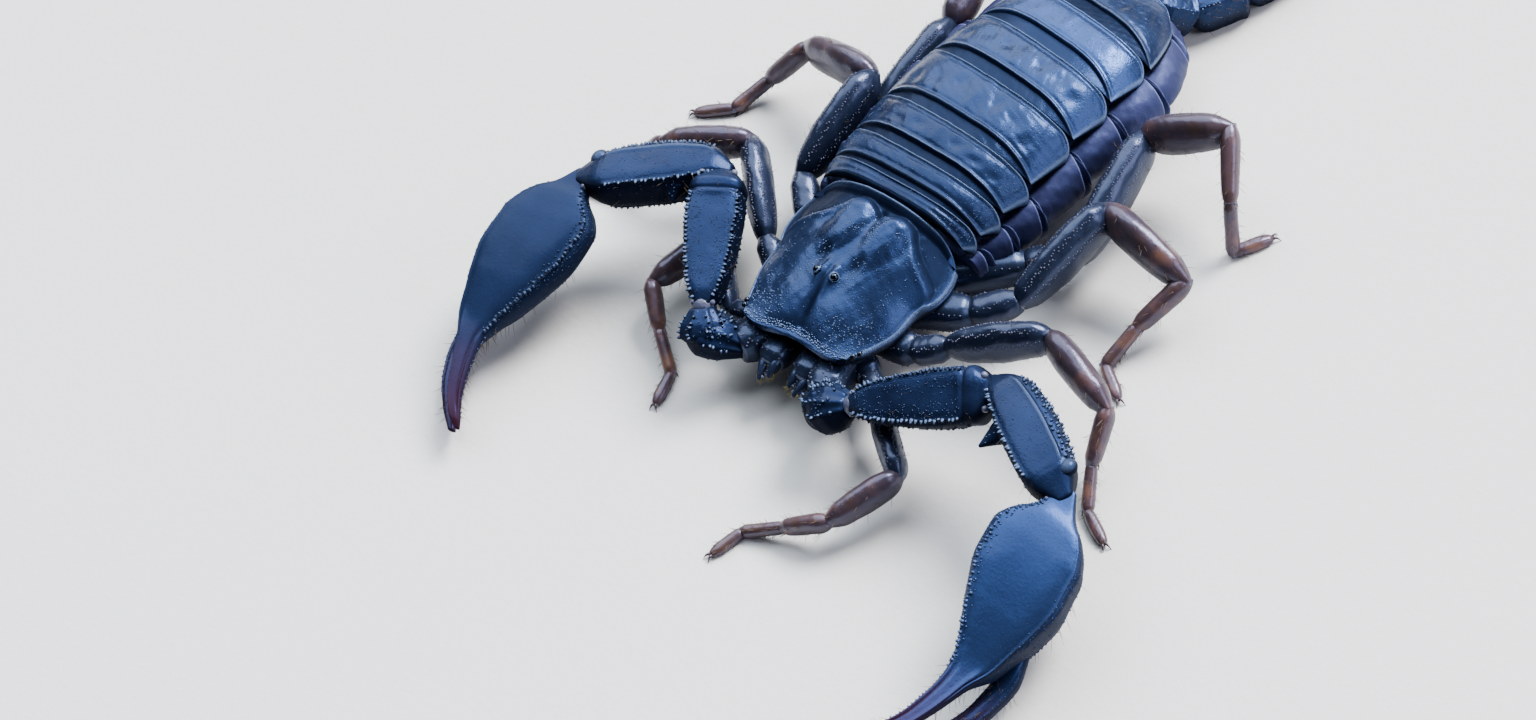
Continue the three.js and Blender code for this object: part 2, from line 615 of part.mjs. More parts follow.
// Claw-bearing arms.
for (const [side, word] of sides) {
  const { root: rootPoint, turn, roll, open } = armPose[word];
  const knots = [vec(rootPoint)];
  [armLengths.femur, armLengths.patella, armLengths.hand].forEach((length, i) => {
    knots.push(knots[i].clone().addScaledVector(aim(side, ...turn[i]), length));
  });
  const coxaTo = vec(armCoxae[word]);
  const coxaFrom = lean(side * 1.55, 1.1, 1.6);
  const ballAt = vec(trochanters[word]);
  const coxa = (grow) => bar(coxaFrom, coxaTo, 0.82, 0.74, grow, 6);
  const trochanter = (grow) => limb([coxaTo, ballAt, knots[0]], side, even([
    [-0.1, 0.5, 0.5], [0.4, 0.78, 0.78], [1, 0.92, 0.92], [1.4, 0.84, 0.84], [1.75, 0.6, 0.6],
  ]), { grow, count: 8 });
  const femur = (grow) => limb([knots[0], knots[1]], side, armFemur, { grow, count: 8, square: 3 });
  const patella = (grow) => {
    const arm = limb([knots[1], knots[2]], side, armPatella, { grow, count: 8, square: 3 });
    const dir = knots[2].clone().sub(knots[1]).normalize();
    const inward = new Vector3().crossVectors(up, dir).multiplyScalar(-side).normalize();
    const foot = knots[1].clone().addScaledVector(dir, 1.75).addScaledVector(inward, 0.45);
    const point = foot.clone().addScaledVector(inward, 0.85).addScaledVector(up, -0.12);
    return joined(arm, bar(foot, point, 0.5, 0.26, grow, 5));
  };
  const hand = (grow) =>
    limb([knots[2], knots[3]], side, fromEdges(handOutline, 0.34), {
      grow, count: 10, square: 2.8, keel: 3.4, ridge: 3, hollow: 1.35, roll,
    });
  const fingerEnd = knots[2]
    .clone()
    .addScaledVector(aim(side, turn[2][0] + open, turn[2][1] - open * 0.25), armLengths.hand);
  const finger = () =>
    limb([knots[2], fingerEnd], side, fromEdges(fingerOutline), { square: 2.4, roll });
  const coxaBody = without(coxa(0), breastGrown, ...cheliceraCut, carapace(seam));
  piece(`pedipalp_${word}_coxa`, coxaBody, shell, coxaFrom);
  const knob = without(trochanter(0), coxa(jointGap), breastGrown, carapace(seam));
  piece(`pedipalp_${word}_trochanter`, knob, shell, ballAt);
  const femurBody = without(femur(0), trochanter(jointGap));
  piece(`pedipalp_${word}_femur`, femurBody, shell, knots[0]);
  piece(`pedipalp_${word}_patella`, without(patella(0), femur(jointGap)), shell, knots[1]);
  piece(`pedipalp_${word}_hand`, without(hand(0), patella(jointGap)), shell, knots[2]);
  const fingerBody = without(finger(), hand(jointGap));
  piece(`pedipalp_${word}_finger`, fingerBody, fingerHorn, knots[2]);
}

// The origin is put on the floor under the middle of the bounding box.
const box = new THREE.Box3().setFromObject(root);
const centre = box.getCenter(new Vector3());
root.position.set(-centre.x, -centre.y, -box.min.z);

export default root;
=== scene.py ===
import math
import bpy
import numpy as np
from mathutils import Matrix, Vector


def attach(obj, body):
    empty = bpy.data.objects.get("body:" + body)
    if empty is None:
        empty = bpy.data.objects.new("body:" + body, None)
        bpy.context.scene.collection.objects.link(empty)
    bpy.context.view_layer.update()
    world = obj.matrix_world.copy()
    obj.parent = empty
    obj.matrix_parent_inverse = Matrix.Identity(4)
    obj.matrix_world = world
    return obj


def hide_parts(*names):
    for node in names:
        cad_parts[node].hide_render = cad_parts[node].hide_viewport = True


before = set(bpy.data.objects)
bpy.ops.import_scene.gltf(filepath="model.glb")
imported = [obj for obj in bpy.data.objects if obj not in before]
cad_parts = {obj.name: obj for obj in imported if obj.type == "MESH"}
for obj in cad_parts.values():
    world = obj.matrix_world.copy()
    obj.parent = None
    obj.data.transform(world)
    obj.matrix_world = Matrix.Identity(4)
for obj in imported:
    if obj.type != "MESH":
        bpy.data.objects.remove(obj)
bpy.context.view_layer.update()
rng = np.random.default_rng(7)

# Everything below is worked out in millimetres on the animal's own axes: head toward -Y,
# its left side toward +X, floor at Z = 0, origin under the front of the head shield.
frameShift = np.array([-1.06439, -14.03286, 0.0])
millimetre = 0.001
floorGap = 0.004
turn = 2 * math.pi
bothSides = ((1, "left"), (-1, "right"))

# Angles round a limb: 0 is its outer side and a quarter turn its upper side.
outerEdge, innerEdge, innerLow, outerLow = (k * math.pi / 4 for k in (1, 3, -3, -1))

trunkShape = {
    "bend": 0.5, "bendSpan": 17.0, "plate": 0.34, "shieldLength": 6.35,
    "shieldHalf": [[0, 2.4], [1.2, 2.88], [2.1, 3.12], [3.3, 3.25], [4.3, 3.52], [5.3, 3.48], [6.35, 3.3]],
    "shieldEdge": [[0, 3.05], [1.2, 2.72], [2.2, 2.6], [4.3, 2.65], [6.35, 2.85]],
    "shieldCrest": [[0, 3.1], [0.8, 3.45], [2.6, 3.98], [4.6, 4.45], [6.35, 4.62]],
    "backHalf": [[6.4, 3.6], [7.3, 3.82], [8.6, 3.95], [10.3, 4.02], [12.9, 3.95],
                 [15.2, 3.75], [17.5, 3.42], [19.3, 2.6], [20.5, 1.5]],
    "flankBulge": [[6.5, 0.1], [8.6, 0.3], [12.9, 0.45], [15.2, 0.6], [17.5, 0.75], [19.3, 0.55],
                   [20.4, 0.1]],
    "backEdge": [[6.4, 2.9], [7.3, 2.98], [10.3, 3.2], [12.9, 3.38], [15.2, 3.35], [17.5, 3.1], [20.5, 2.2]],
    "backCrest": [[6.4, 4.6], [8.6, 4.8], [10.3, 4.88], [12.9, 4.86], [15.2, 4.62], [17.5, 4.25],
                  [20.5, 2.95]],
    "plateRear": [7.3, 8.62, 10.3, 12.9, 15.2, 17.5, 20.45],
}

legShape = {
    "lengths": [[3.75, 3.1, 1.95, 1.75, 1.4], [4.2, 3.7, 2.2, 1.65, 1.5],
                [4.7, 4.15, 2.5, 1.8, 1.55], [5.45, 3.6, 2.8, 2.0, 1.55]],
    "build": [0.8, 0.95, 1.06, 1.08],
    "coxaStarts": [1.7, 2.5, 3.5, 4.4],
    "coxaSizes": [0.62, 0.68, 0.74, 0.78],
    "coxaEnds": [[2.7, 1.05, 1.5], [3.45, 2.75, 1.6], [4.1, 5.3, 1.6], [4.2, 8.3, 1.4]],
    "roots": {
        "left": [[3.75, 0.2, 1.58], [4.66, 3.42, 2.06], [5.53, 6.56, 2.02], [5.8, 9.6, 1.55]],
        "right": [[3.75, 0.2, 1.68], [4.66, 3.42, 2.06], [5.53, 6.56, 2.02], [5.0, 9.75, 1.65]],
    },
    "pose": {  # heading from straight ahead and pitch up, in degrees, for the five segments
        "left": [[[54, 4], [-23, -10], [-63, -20], [-59, -18], [-14, -10]],
                 [[119, 15], [73, -10], [7, -47], [30, -15], [62, -9]],
                 [[170, 16], [84, -16], [-24, -28], [-11, -18], [57, -9]],
                 [[188, 13], [114, 18], [34, -30], [24, -72], [151, -12]]],
        "right": [[[130, 0], [14, -2], [-47, -22], [-54, -16], [-16, -10]],
                  [[134, 13], [60, -4], [76, -50], [10, -22], [75, -9]],
                  [[182, 20], [95, -17], [48, -41], [22, -14], [53, -9]],
                  [[180, 12], [165, 4], [150, -38], [140, -32], [150, -10]]],
    },
}

armShape = {
    "lengths": [5.4, 5.45, 11.0],
    "left": {"root": [4.04, -1.03, 3.1], "turn": [[121, 11], [69, 1], [-4, -10]], "roll": 9, "open": 3},
    "right": {"root": [-3.86, -0.76, 3.16], "turn": [[147, 9], [59, -2], [-13, -12]], "roll": 0, "open": 2},
    "trochanter": {"left": [2.85, -1.42, 2.3], "right": [-3.4, -1.4, 2.38]},
    "coxa": {"left": [1.95, -0.75, 1.8], "right": [-2.25, -0.85, 1.85]},
}

# Tail rings are length, half width, half height, heading and pitch.
tailShape = {
    "root": [0.4, 20.5, 2.05],
    "rings": [[1.9, 1.02, 0.94, 142, -37], [2.3, 0.96, 0.92, 152, -2], [2.7, 0.92, 0.88, 166, -1],
              [3.2, 0.88, 0.86, 183, 0], [5.7, 0.84, 0.84, 200, 9]],
    "telson": {"length": 2.7, "heading": 212, "pitch": 16, "girth": 0.82, "sting": 2.6, "stingSteps": 26},
}


def bump(x, centre, width):
    return np.exp(-(((x - centre) / width) ** 2))


def step(x, low, high):
    t = np.clip((x - low) / (high - low), 0, 1)
    return t * t * (3 - 2 * t)


def curve(rows, x):
    # smooth curve through [place, value, value, ...] rows that never overshoots them
    table = np.array(rows, float)
    places, values = table[:, 0], table[:, 1:]
    gaps = np.diff(places)[:, None]
    slopes = np.diff(values, axis=0) / gaps
    left, right = slopes[:-1], slopes[1:]
    w1, w2 = 2 * gaps[1:] + gaps[:-1], gaps[1:] + 2 * gaps[:-1]
    same = left * right > 0
    inner = np.where(same, left * right * (w1 + w2) / np.where(same, w1 * right + w2 * left, 1), 0)
    tangent = np.vstack([slopes[:1], inner, slopes[-1:]])
    x = np.clip(np.asarray(x, float), places[0], places[-1])
    k = np.clip(np.searchsorted(places, x, "right") - 1, 0, len(places) - 2)
    h = places[k + 1] - places[k]
    t = ((x - places[k]) / h)[..., None]
    h = h[..., None]
    found = ((2 * t**3 - 3 * t**2 + 1) * values[k] + (t**3 - 2 * t**2 + t) * h * tangent[k]
             + (3 * t**2 - 2 * t**3) * values[k + 1] + (t**3 - t**2) * h * tangent[k + 1])
    return found[..., 0] if values.shape[1] == 1 else found


def trunk(name, y):
    return curve(trunkShape[name], y)


def lean(x, y, z):
    # the trunk's slight sideways bend
    k = math.pi / trunkShape["bendSpan"]
    slope = -trunkShape["bend"] * k * np.cos(k * y)
    return np.stack(np.broadcast_arrays(x - trunkShape["bend"] * np.sin(k * y), y - x * slope, z), -1)


def aim(side, heading, pitch):
    h, p = math.radians(heading), math.radians(pitch)
    return np.array([side * math.sin(h) * math.cos(p), -math.cos(h) * math.cos(p), math.sin(p)])


def unit(v):
    return v / np.maximum(np.linalg.norm(v, axis=-1, keepdims=True), 1e-12)


def mirrored(point, side):
    return np.array([point[0] * side, point[1], point[2]], float)


def wander(points, scale, seed=0):
    # smooth made-up unevenness, -1 to 1, from a few crossing waves
    waves = 5
    total = 0
    for i in range(waves):
        a, b, c = 1.7 * i + seed, 2.3 * i + 1.3 * seed, 0.9 * i + 0.7 * seed
        way = np.array([math.sin(a) + 0.4, math.cos(b), math.sin(c + 1)])
        total = total + np.sin(points @ (way * (1 + 0.45 * i)) / scale + a * waves)
    return total / waves


class Shape:
    # gathers closed surfaces and beads into one mesh, with two painted values per point
    def __init__(self):
        self.points, self.quads, self.tris, self.along, self.worn, self.uv = [], [], [], [], [], []
        self.count = 0

    def add(self, points, quads, tris=(), along=0.5, worn=0.0):
        points = np.asarray(points, float).reshape(-1, 3)
        for kept, faces in ((self.quads, quads), (self.tris, tris)):
            if len(faces):
                kept.append(np.asarray(faces) + self.count)
        self.points.append(points)
        for kept, values in ((self.along, along), (self.worn, worn)):
            kept.append(np.broadcast_to(np.asarray(values, float).reshape(-1), (len(points),)))
        self.count += len(points)

    def skin(self, rings, along, worn=0.0):
        # closed surface through rings, closed at both ends on their centres
        rings = np.asarray(rings, float)
        rows, cols = rings.shape[:2]
        flat = rings.reshape(-1, 3)
        i, j = np.meshgrid(np.arange(rows - 1), np.arange(cols), indexing="ij")
        a, b = i * cols + j, i * cols + (j + 1) % cols
        quads = np.stack([a, b, b + cols, a + cols], -1).reshape(-1, 4)
        k = np.arange(cols)
        following = (k + 1) % cols
        top = (rows - 1) * cols
        low = np.stack([np.full(cols, rows * cols), following, k], -1)
        high = np.stack([np.full(cols, rows * cols + 1), top + k, top + following], -1)
        points = np.vstack([flat, rings[0].mean(0), rings[-1].mean(0)])
        tris = np.vstack([low, high])
        cross = np.cross(flat[quads[:, 1]] - flat[quads[:, 0]], flat[quads[:, 3]] - flat[quads[:, 0]])
        if np.einsum("ij,ij->", cross, flat[quads[:, 0]] - flat.mean(0)) < 0:
            quads, tris = quads[:, ::-1], tris[:, ::-1]

        def padded(values):
            values = np.asarray(values, float).reshape(-1)
            return np.concatenate([values, values[[0, -1]]]) if values.size > 1 else values
        self.add(points, quads, tris, padded(along), padded(worn))

    def beads(self, centres, normals, size, along=0.5, worn=1.0, point=0.0):
        # small closed grains half sunk in the surface; point above 0 makes them sharper
        centres = np.asarray(centres, float).reshape(-1, 3)
        normals = unit(np.asarray(normals, float).reshape(-1, 3))
        count, corners, perBead = len(centres), 6, 20
        if not count:
            return
        size = np.broadcast_to(np.asarray(size, float), (count,))[:, None, None]
        helper = np.where(np.abs(normals[:, 2:3]) > 0.9, [[1.0, 0, 0]], [[0, 0, 1.0]])
        right = unit(np.cross(helper, normals))
        front = np.cross(normals, right)
        k = np.arange(corners)
        around = k / corners * turn
        ring = right[:, None] * np.cos(around)[:, None] + front[:, None] * np.sin(around)[:, None]
        parts = [centres[:, None] - normals[:, None] * size * 0.9]
        for height, wide in ((-0.5, 0.95), (0.25 + 0.15 * point, 0.95 - 0.25 * point),
                             (0.8 + 0.3 * point, 0.5 - 0.2 * point)):
            parts.append(centres[:, None] + ring * size * wide + normals[:, None] * size * height)
        parts.append(centres[:, None] + normals[:, None] * size * (1.05 + 0.5 * point))
        points = np.concatenate(parts, 1)
        n = (k + 1) % corners
        quads = np.vstack([np.stack([r + k, r + n, r + corners + n, r + corners + k], -1)
                           for r in (1, 1 + corners)])
        tris = np.vstack([np.stack([0 * k, 1 + n, 1 + k], -1), np.stack([0 * k + 19, 13 + k, 13 + n], -1)])
        lift = (np.arange(count) * perBead)[:, None, None]
        along = np.repeat(np.broadcast_to(np.asarray(along, float).reshape(-1), (count,)), perBead)
        self.add(points, (quads + lift).reshape(-1, 4), (tris + lift).reshape(-1, 3), along, worn)

    def build(self, name, finish, replaces, slot):
        points = (np.vstack(self.points) + frameShift) * millimetre
        quads = np.vstack(self.quads)
        tris = np.vstack(self.tris) if self.tris else np.zeros((0, 3), int)
        loops = np.concatenate([quads.reshape(-1), tris.reshape(-1)])
        sizes = np.concatenate([np.full(len(quads), 4), np.full(len(tris), 3)])
        starts = np.concatenate([[0], np.cumsum(sizes)[:-1]])
        mesh = bpy.data.meshes.new(name)
        mesh.vertices.add(len(points))
        mesh.vertices.foreach_set("co", points.reshape(-1))
        mesh.loops.add(len(loops))
        mesh.loops.foreach_set("vertex_index", loops.astype(np.int32))
        mesh.polygons.add(len(sizes))
        mesh.polygons.foreach_set("loop_start", starts.astype(np.int32))
        mesh.polygons.foreach_set("use_smooth", np.full(len(sizes), True))
        mesh.update(calc_edges=True)
        for label, values in (("along", self.along), ("worn", self.worn)):
            layer = mesh.attributes.new(label, "FLOAT", "POINT")
            layer.data.foreach_set("value", np.concatenate(values).astype(np.float32))
        if self.uv:
            layer = mesh.uv_layers.new(name="OFBake")
            layer.data.foreach_set("uv", np.vstack(self.uv)[loops].astype(np.float32).reshape(-1))
        mesh.validate()
        mesh.materials.append(finish)
        piece = bpy.data.objects.new(name, mesh)
        bpy.context.scene.collection.objects.link(piece)
        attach(piece, "root")
        if replaces:
            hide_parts(*replaces)


class Limb:
    # one tapering piece between two points. Rows are share along it, half sizes out, in,
    # up and down, then shifts out and up; each corner of the section has its own squareness.
    def __init__(self, start, end, side, rows, square, keel=None, ridge=None, hollow=None, roll=0):
        self.start, self.end, self.rows = np.array(start, float), np.array(end, float), rows
        self.length = np.linalg.norm(self.end - self.start)
        self.way = (self.end - self.start) / self.length
        up = np.array([0, 0, 1.0])
        outFlat = unit(np.cross(up, self.way) * side)
        liftFlat = unit(up - self.way * self.way[2])
        c, s = math.cos(math.radians(roll)), math.sin(math.radians(roll))
        self.out, self.lift = outFlat * c - liftFlat * s, liftFlat * c + outFlat * s
        self.corners = [keel or square, ridge or square, hollow or square, square]
        self.relief = None

    def middle(self, share, sizes, x=0, z=0):
        return (self.start + self.way * (share * self.length)[..., None]
                + self.out * (x + sizes[..., 4])[..., None] + self.lift * (z + sizes[..., 5])[..., None])

    def at(self, share, angle):
        share, angle = np.broadcast_arrays(np.asarray(share, float), np.asarray(angle, float))
        sizes = curve(self.rows, share)
        c, s = np.cos(angle), np.sin(angle)
        corner = np.where(c > 0, np.where(s > 0, self.corners[0], self.corners[3]),
                          np.where(s > 0, self.corners[1], self.corners[2]))
        x = np.sign(c) * np.abs(c) ** (2 / corner) * np.where(c > 0, sizes[..., 0], sizes[..., 1])
        z = np.sign(s) * np.abs(s) ** (2 / corner) * np.where(s > 0, sizes[..., 2], sizes[..., 3])
        if self.relief:
            x, z = self.relief(share, angle, x, z)
        return self.middle(share, sizes, x, z)

    def normal(self, share, angle):
        d = 0.004
        share = np.clip(np.asarray(share, float), self.rows[0][0] + d, self.rows[-1][0] - d)
        angle = np.asarray(angle, float)
        across = self.at(share, angle + d) - self.at(share, angle - d)
        ahead = self.at(share + d, angle) - self.at(share - d, angle)
        found = unit(np.cross(across, ahead))
        outward = self.at(share, angle) - self.middle(share, curve(self.rows, share))
        flip = np.einsum("...i,...i->...", found, outward) < 0
        return np.where(flip[..., None], -found, found)

    def surface(self, shape, stations, around, floor=False, worn=None):
        capLength, fullCap, capSteps = 0.16, 0.4, (0.9, 0.7, 0.4)
        first, last = self.rows[0][0], self.rows[-1][0]
        share = first + (last - first) * (0.5 - 0.5 * np.cos(np.linspace(0, math.pi, stations))) * 0.5 \
            + (last - first) * np.linspace(0, 1, stations) * 0.5
        angle = np.arange(around) / around * turn
        rings = self.at(share[:, None], angle[None])
        caps = []
        for edge, order in ((rings[0], 1), (rings[-1], -1)):
            centre = edge.mean(0)
            reach = order * self.way * capLength
            size = min(1, np.linalg.norm(edge - centre, axis=1).mean() / fullCap)
            caps.append(np.array([centre + (edge - centre) * k - reach * math.sqrt(1 - k * k) * size
                                  for k in capSteps]))
        rings = np.concatenate([caps[0][::-1], rings, caps[1]])
        if floor:
            rings[..., 2] = np.maximum(rings[..., 2], floorGap)
        along = np.concatenate([[share[0]] * len(capSteps), share, [share[-1]] * len(capSteps)])
        marks = worn(along[:, None], angle[None]) if worn else 0.0
        shape.skin(rings, np.repeat(along, around), marks)

    def row(self, shape, shares, angle, size, jitter=0.0, point=0.3, worn=1.0):
        # a row of grains along the piece
        shares = np.asarray(shares, float)
        angle = angle + rng.normal(0, 0.03 + jitter, shares.shape)
        shares = shares + rng.normal(0, 0.15 * abs(np.diff(shares).mean()), shares.shape)
        sizes = size * rng.uniform(0.75, 1.2, shares.shape)
        shape.beads(self.at(shares, angle), self.normal(shares, angle), sizes, shares, worn, point)


hairRoots = []


def keepRoots(limb, count, shares, angles, length, slope=0.9):
    share, angle = rng.uniform(*shares, count), rng.uniform(*angles, count)
    lengths = rng.uniform(0.6, 1.25, count) * length
    points, normals = limb.at(share, angle), limb.normal(share, angle)
    hairRoots.append((points, normals, limb.way, lengths, slope, share, angle))


def scatterOn(shape, limb, count, shares, angles, size, worn=0.7, point=0.2, spread=(0.6, 1.2)):
    s, a = rng.uniform(*shares, count), rng.uniform(*angles, count)
    sizes = rng.uniform(*spread, count) * size
    shape.beads(limb.at(s, a), limb.normal(s, a), sizes, s, worn, point)


def dress(shape, limb, rows=(), grains=(), hairs=()):
    # rows of grains by first share, last share and gap in millimetres, then loose grains and hairs
    for low, high, gap, *rest in rows:
        limb.row(shape, np.arange(low, high, gap / limb.length), *rest)
    for row in grains:
        scatterOn(shape, limb, *row)
    for row in hairs:
        keepRoots(limb, *row)


def even(rows):
    return [[share, w, w, h, h, 0, 0] for share, w, h in rows]


def scaled(rows, k):
    return [[row[0], *[v * k for v in row[1:]]] for row in rows]


def uneven(size, seed):
    # small dents and swellings, so that no limb is perfectly turned
    def relief(share, angle, x, z):
        where = np.stack(np.broadcast_arrays(share * 3.0, np.cos(angle), np.sin(angle)), -1)
        k = 1 + size * wander(where, 0.45, seed) + 0.4 * size * wander(where, 0.16, seed + 2)
        return x * k, z * k
    return relief


def knob(shape, centre, radius, rows, cols, stretch=(1, 1, 1), worn=0.0):
    # small closed ball, for joints and eyes
    lat = np.linspace(-math.pi / 2, math.pi / 2, rows + 2)[1:-1, None]
    lon = np.arange(cols) / cols * turn
    flat = np.cos(lat)
    ball = np.stack(np.broadcast_arrays(flat * np.cos(lon), flat * np.sin(lon), np.sin(lat)), -1)
    shape.skin(np.asarray(centre) + ball * radius * np.asarray(stretch), 0.5, worn)


def hose(shape, centre, radius, around):
    # round tube of changing radius along given points, kept above the floor
    way = unit(np.gradient(centre, axis=0))
    side = unit(np.cross(way, [0, 0, 1.0]))[:, None]
    top = np.cross(side, way[:, None])
    a = (np.arange(around) / around * turn)[None, :, None]
    rings = centre[:, None] + (side * np.cos(a) + top * np.sin(a)) * radius[:, None, None]
    rings[..., 2] = np.maximum(rings[..., 2], floorGap)
    shape.skin(rings, np.repeat(np.linspace(0, 1, len(centre)), around))


class Wire:
    # a socket that can be added to, multiplied and so on
    def __init__(self, finish, socket):
        self.finish, self.socket = finish, socket

    def maths(self, operation, first, second):
        return self.finish.node("ShaderNodeMath", {"operation": operation}, {0: first, 1: second})

    def __add__(self, other):
        return self.maths("ADD", self, other)

    def __radd__(self, other):
        return self.maths("ADD", other, self)

    def __sub__(self, other):
        return self.maths("SUBTRACT", self, other)

    def __rsub__(self, other):
        return self.maths("SUBTRACT", other, self)

    def __mul__(self, other):
        return self.maths("MULTIPLY", self, other)

    def __rmul__(self, other):
        return self.maths("MULTIPLY", other, self)

    def clip(self, low=0.0, high=1.0):
        return self.finish.node("ShaderNodeClamp", {}, {"Value": self, "Min": low, "Max": high})


class Finish:
    # one material around a Principled shader, with object coordinates in millimetres
    def __init__(self, name, **constants):
        self.material = bpy.data.materials.new(name)
        self.material.use_nodes = True
        self.tree = self.material.node_tree
        self.tree.nodes.clear()
        self.output = self.tree.nodes.new("ShaderNodeOutputMaterial").inputs[0]
        self.shader = self.tree.nodes.new("ShaderNodeBsdfPrincipled")
        self.polished = Wire(self, self.shader.outputs[0])
        self.put(self.output, self.polished)
        self.feed(**constants)
        spot = self.node("ShaderNodeTexCoord", {}, {}, "Object")
        self.place = self.node("ShaderNodeVectorMath", {"operation": "SCALE"}, {0: spot, "Scale": 1000.0})

    def put(self, socket, value):
        if isinstance(value, Wire):
            self.tree.links.new(value.socket, socket)
        else:
            socket.default_value = value

    def node(self, kind, settings, values, output=0):
        node = self.tree.nodes.new(kind)
        for key, value in settings.items():
            setattr(node, key, value)
        for key, value in values.items():
            self.put(node.inputs[key], value)
        return Wire(self, node.outputs[output])

    def feed(self, **values):
        for socket, value in values.items():
            self.put(self.shader.inputs[socket.replace("_", " ")], value)
        return self

    def shadeBelow(self, colour, low, high, specular=0.1, rough=0.6, keep=1.0):
        # faces that look down or sideways are mixed into a darker, duller copy of the material: painted
        # shade, with the polished copy kept on the upper faces
        normal = self.node("ShaderNodeNewGeometry", {}, {}, "Normal")
        facing = self.node("ShaderNodeSeparateXYZ", {}, {0: normal}, "Z")
        tint = self.shader.inputs["Specular Tint"].default_value
        shadedCopy = self.node("ShaderNodeBsdfPrincipled", {}, {
            "Specular IOR Level": specular, "Specular Tint": tint, "Base Color": colour,
            "Roughness": rough + 0.1 * self.noise(3.0)})
        self.put(self.output, self.node("ShaderNodeMixShader", {}, {
            0: sharpen(facing, low, high) * keep, 1: shadedCopy, 2: self.polished}))

    def noise(self, scale, detail=3.0, rough=0.5):
        return self.node("ShaderNodeTexNoise", {}, {"Vector": self.place, "Scale": scale,
                                                    "Detail": detail, "Roughness": rough}, "Fac")

    def cells(self, scale):
        return self.node("ShaderNodeTexVoronoi", {}, {"Vector": self.place, "Scale": scale}, "Distance")

    def painted(self, label):
        return self.node("ShaderNodeAttribute", {"attribute_name": label}, {}, "Fac")

    def blend(self, amount, first, second):
        return self.node("ShaderNodeMix", {"data_type": "RGBA"}, {0: amount, 6: first, 7: second}, 2)

    def relief(self, height, distance):
        return self.node("ShaderNodeBump", {}, {"Height": height, "Distance": distance, "Strength": 1.0})


def ink(r, g, b):
    return (r, g, b, 1.0)


def sharpen(wire, low, high):
    return ((wire - low) * (1.0 / (high - low))).clip()


shellLook = {
    # worn is the paler colour of rims, keels and grains: partly wear, partly a painted highlight
    "deep": ink(0.002, 0.003, 0.008), "blue": ink(0.009, 0.018, 0.052), "worn": ink(0.11, 0.16, 0.28),
    # tint, armTint and clawTint colour the reflections blue: a painted reflection of a blue sky under
    # near-white lamps
    "under": ink(0.0015, 0.0025, 0.006), "tint": ink(0.15, 0.34, 1.0), "armTint": ink(0.09, 0.27, 1.0),
    "clawTint": ink(0.12, 0.3, 1.0), "clawTip": ink(0.03, 0.006, 0.01),
    "rough": 0.34, "specular": 0.6, "coat": 0.05, "coatRough": 0.16, "bump": 0.000016,
}


def shellFinish(name, sheenLevel, shade=0.0, grain=1.0, low=-0.3, high=0.5, tint=shellLook["tint"]):
    # shade is how far the points painted above 0.5 along take the darker, duller shaded copy: painted shade
    # in recesses
    look = shellLook
    f = Finish(name, IOR=1.56, Coat_Roughness=look["coatRough"], Coat_Weight=look["coat"],
               Specular_Tint=tint, Specular_IOR_Level=look["specular"] * sheenLevel)
    clouds, fine, pores, worn = f.noise(0.55), f.noise(7.0, 4.0, 0.6), f.cells(9.0), f.painted("worn")
    colour = f.blend(sharpen(clouds, 0.2, 0.8), look["deep"], look["blue"])
    # rims, keels and grains painted paler: partly wear, partly a painted highlight
    colour = f.blend(worn * (0.35 + 0.5 * fine), colour, look["worn"])
    rough = look["rough"] + 0.3 * (clouds - 0.5) + 0.22 * (fine - 0.5) - 0.14 * worn
    height = 0.45 * fine + 0.3 * sharpen(pores, 0.0, 0.45) + 1.1 * f.noise(1.9)
    # sides and undersides take the shaded copy in the deep and under colours: painted shade
    f.shadeBelow(f.blend(clouds, look["deep"], look["under"]), low, high,
                keep=1 - shade * sharpen(f.painted("along") + 0.2 * (clouds - 0.5), 0.5, 1.0))
    return f.feed(Base_Color=colour, Roughness=rough.clip(0.12, 0.7),
                  Normal=f.relief(height, look["bump"] * grain)).material


def fingerFinish(name, gloss, low, high):
    # blue-black at the base, wine red at the tip
    look = shellLook
    f = Finish(name, IOR=1.56, Coat_Weight=look["coat"], Coat_Roughness=0.15, Specular_Tint=look["clawTint"],
               Specular_IOR_Level=gloss)
    along, fine, clouds = f.painted("along"), f.noise(8.0, 4.0, 0.6), f.noise(0.9, 2.0)
    colour = f.blend(0.3 + 0.4 * clouds, look["deep"], look["blue"])
    colour = f.blend(sharpen(along + 0.12 * (clouds - 0.5), 0.62, 0.98), colour, look["clawTip"])
    colour = f.blend(f.painted("worn") * 0.25, colour, look["worn"])
    # the shaded copy on the fingers' lower faces and partly on the tips: painted shade
    f.shadeBelow(f.blend(0.6, colour, look["deep"]), low, high, 0.12, keep=1 - 0.6 * sharpen(along, 0.7, 1.0))
    return f.feed(Base_Color=colour, Roughness=(0.38 + 0.2 * (fine - 0.4) - 0.16 * along).clip(0.12, 0.6),
                  Normal=f.relief(0.5 * fine + 0.4 * f.noise(2.2, 2.0), 0.000015)).material


skinLook = {
    "fold": ink(0.1, 0.12, 0.26), "face": ink(0.01, 0.014, 0.042), "violet": ink(0.017, 0.017, 0.05),
    # tint colours the reflections blue: a painted reflection of a blue sky
    "tint": ink(0.3, 0.4, 1.0), "bump": 0.000025,
}


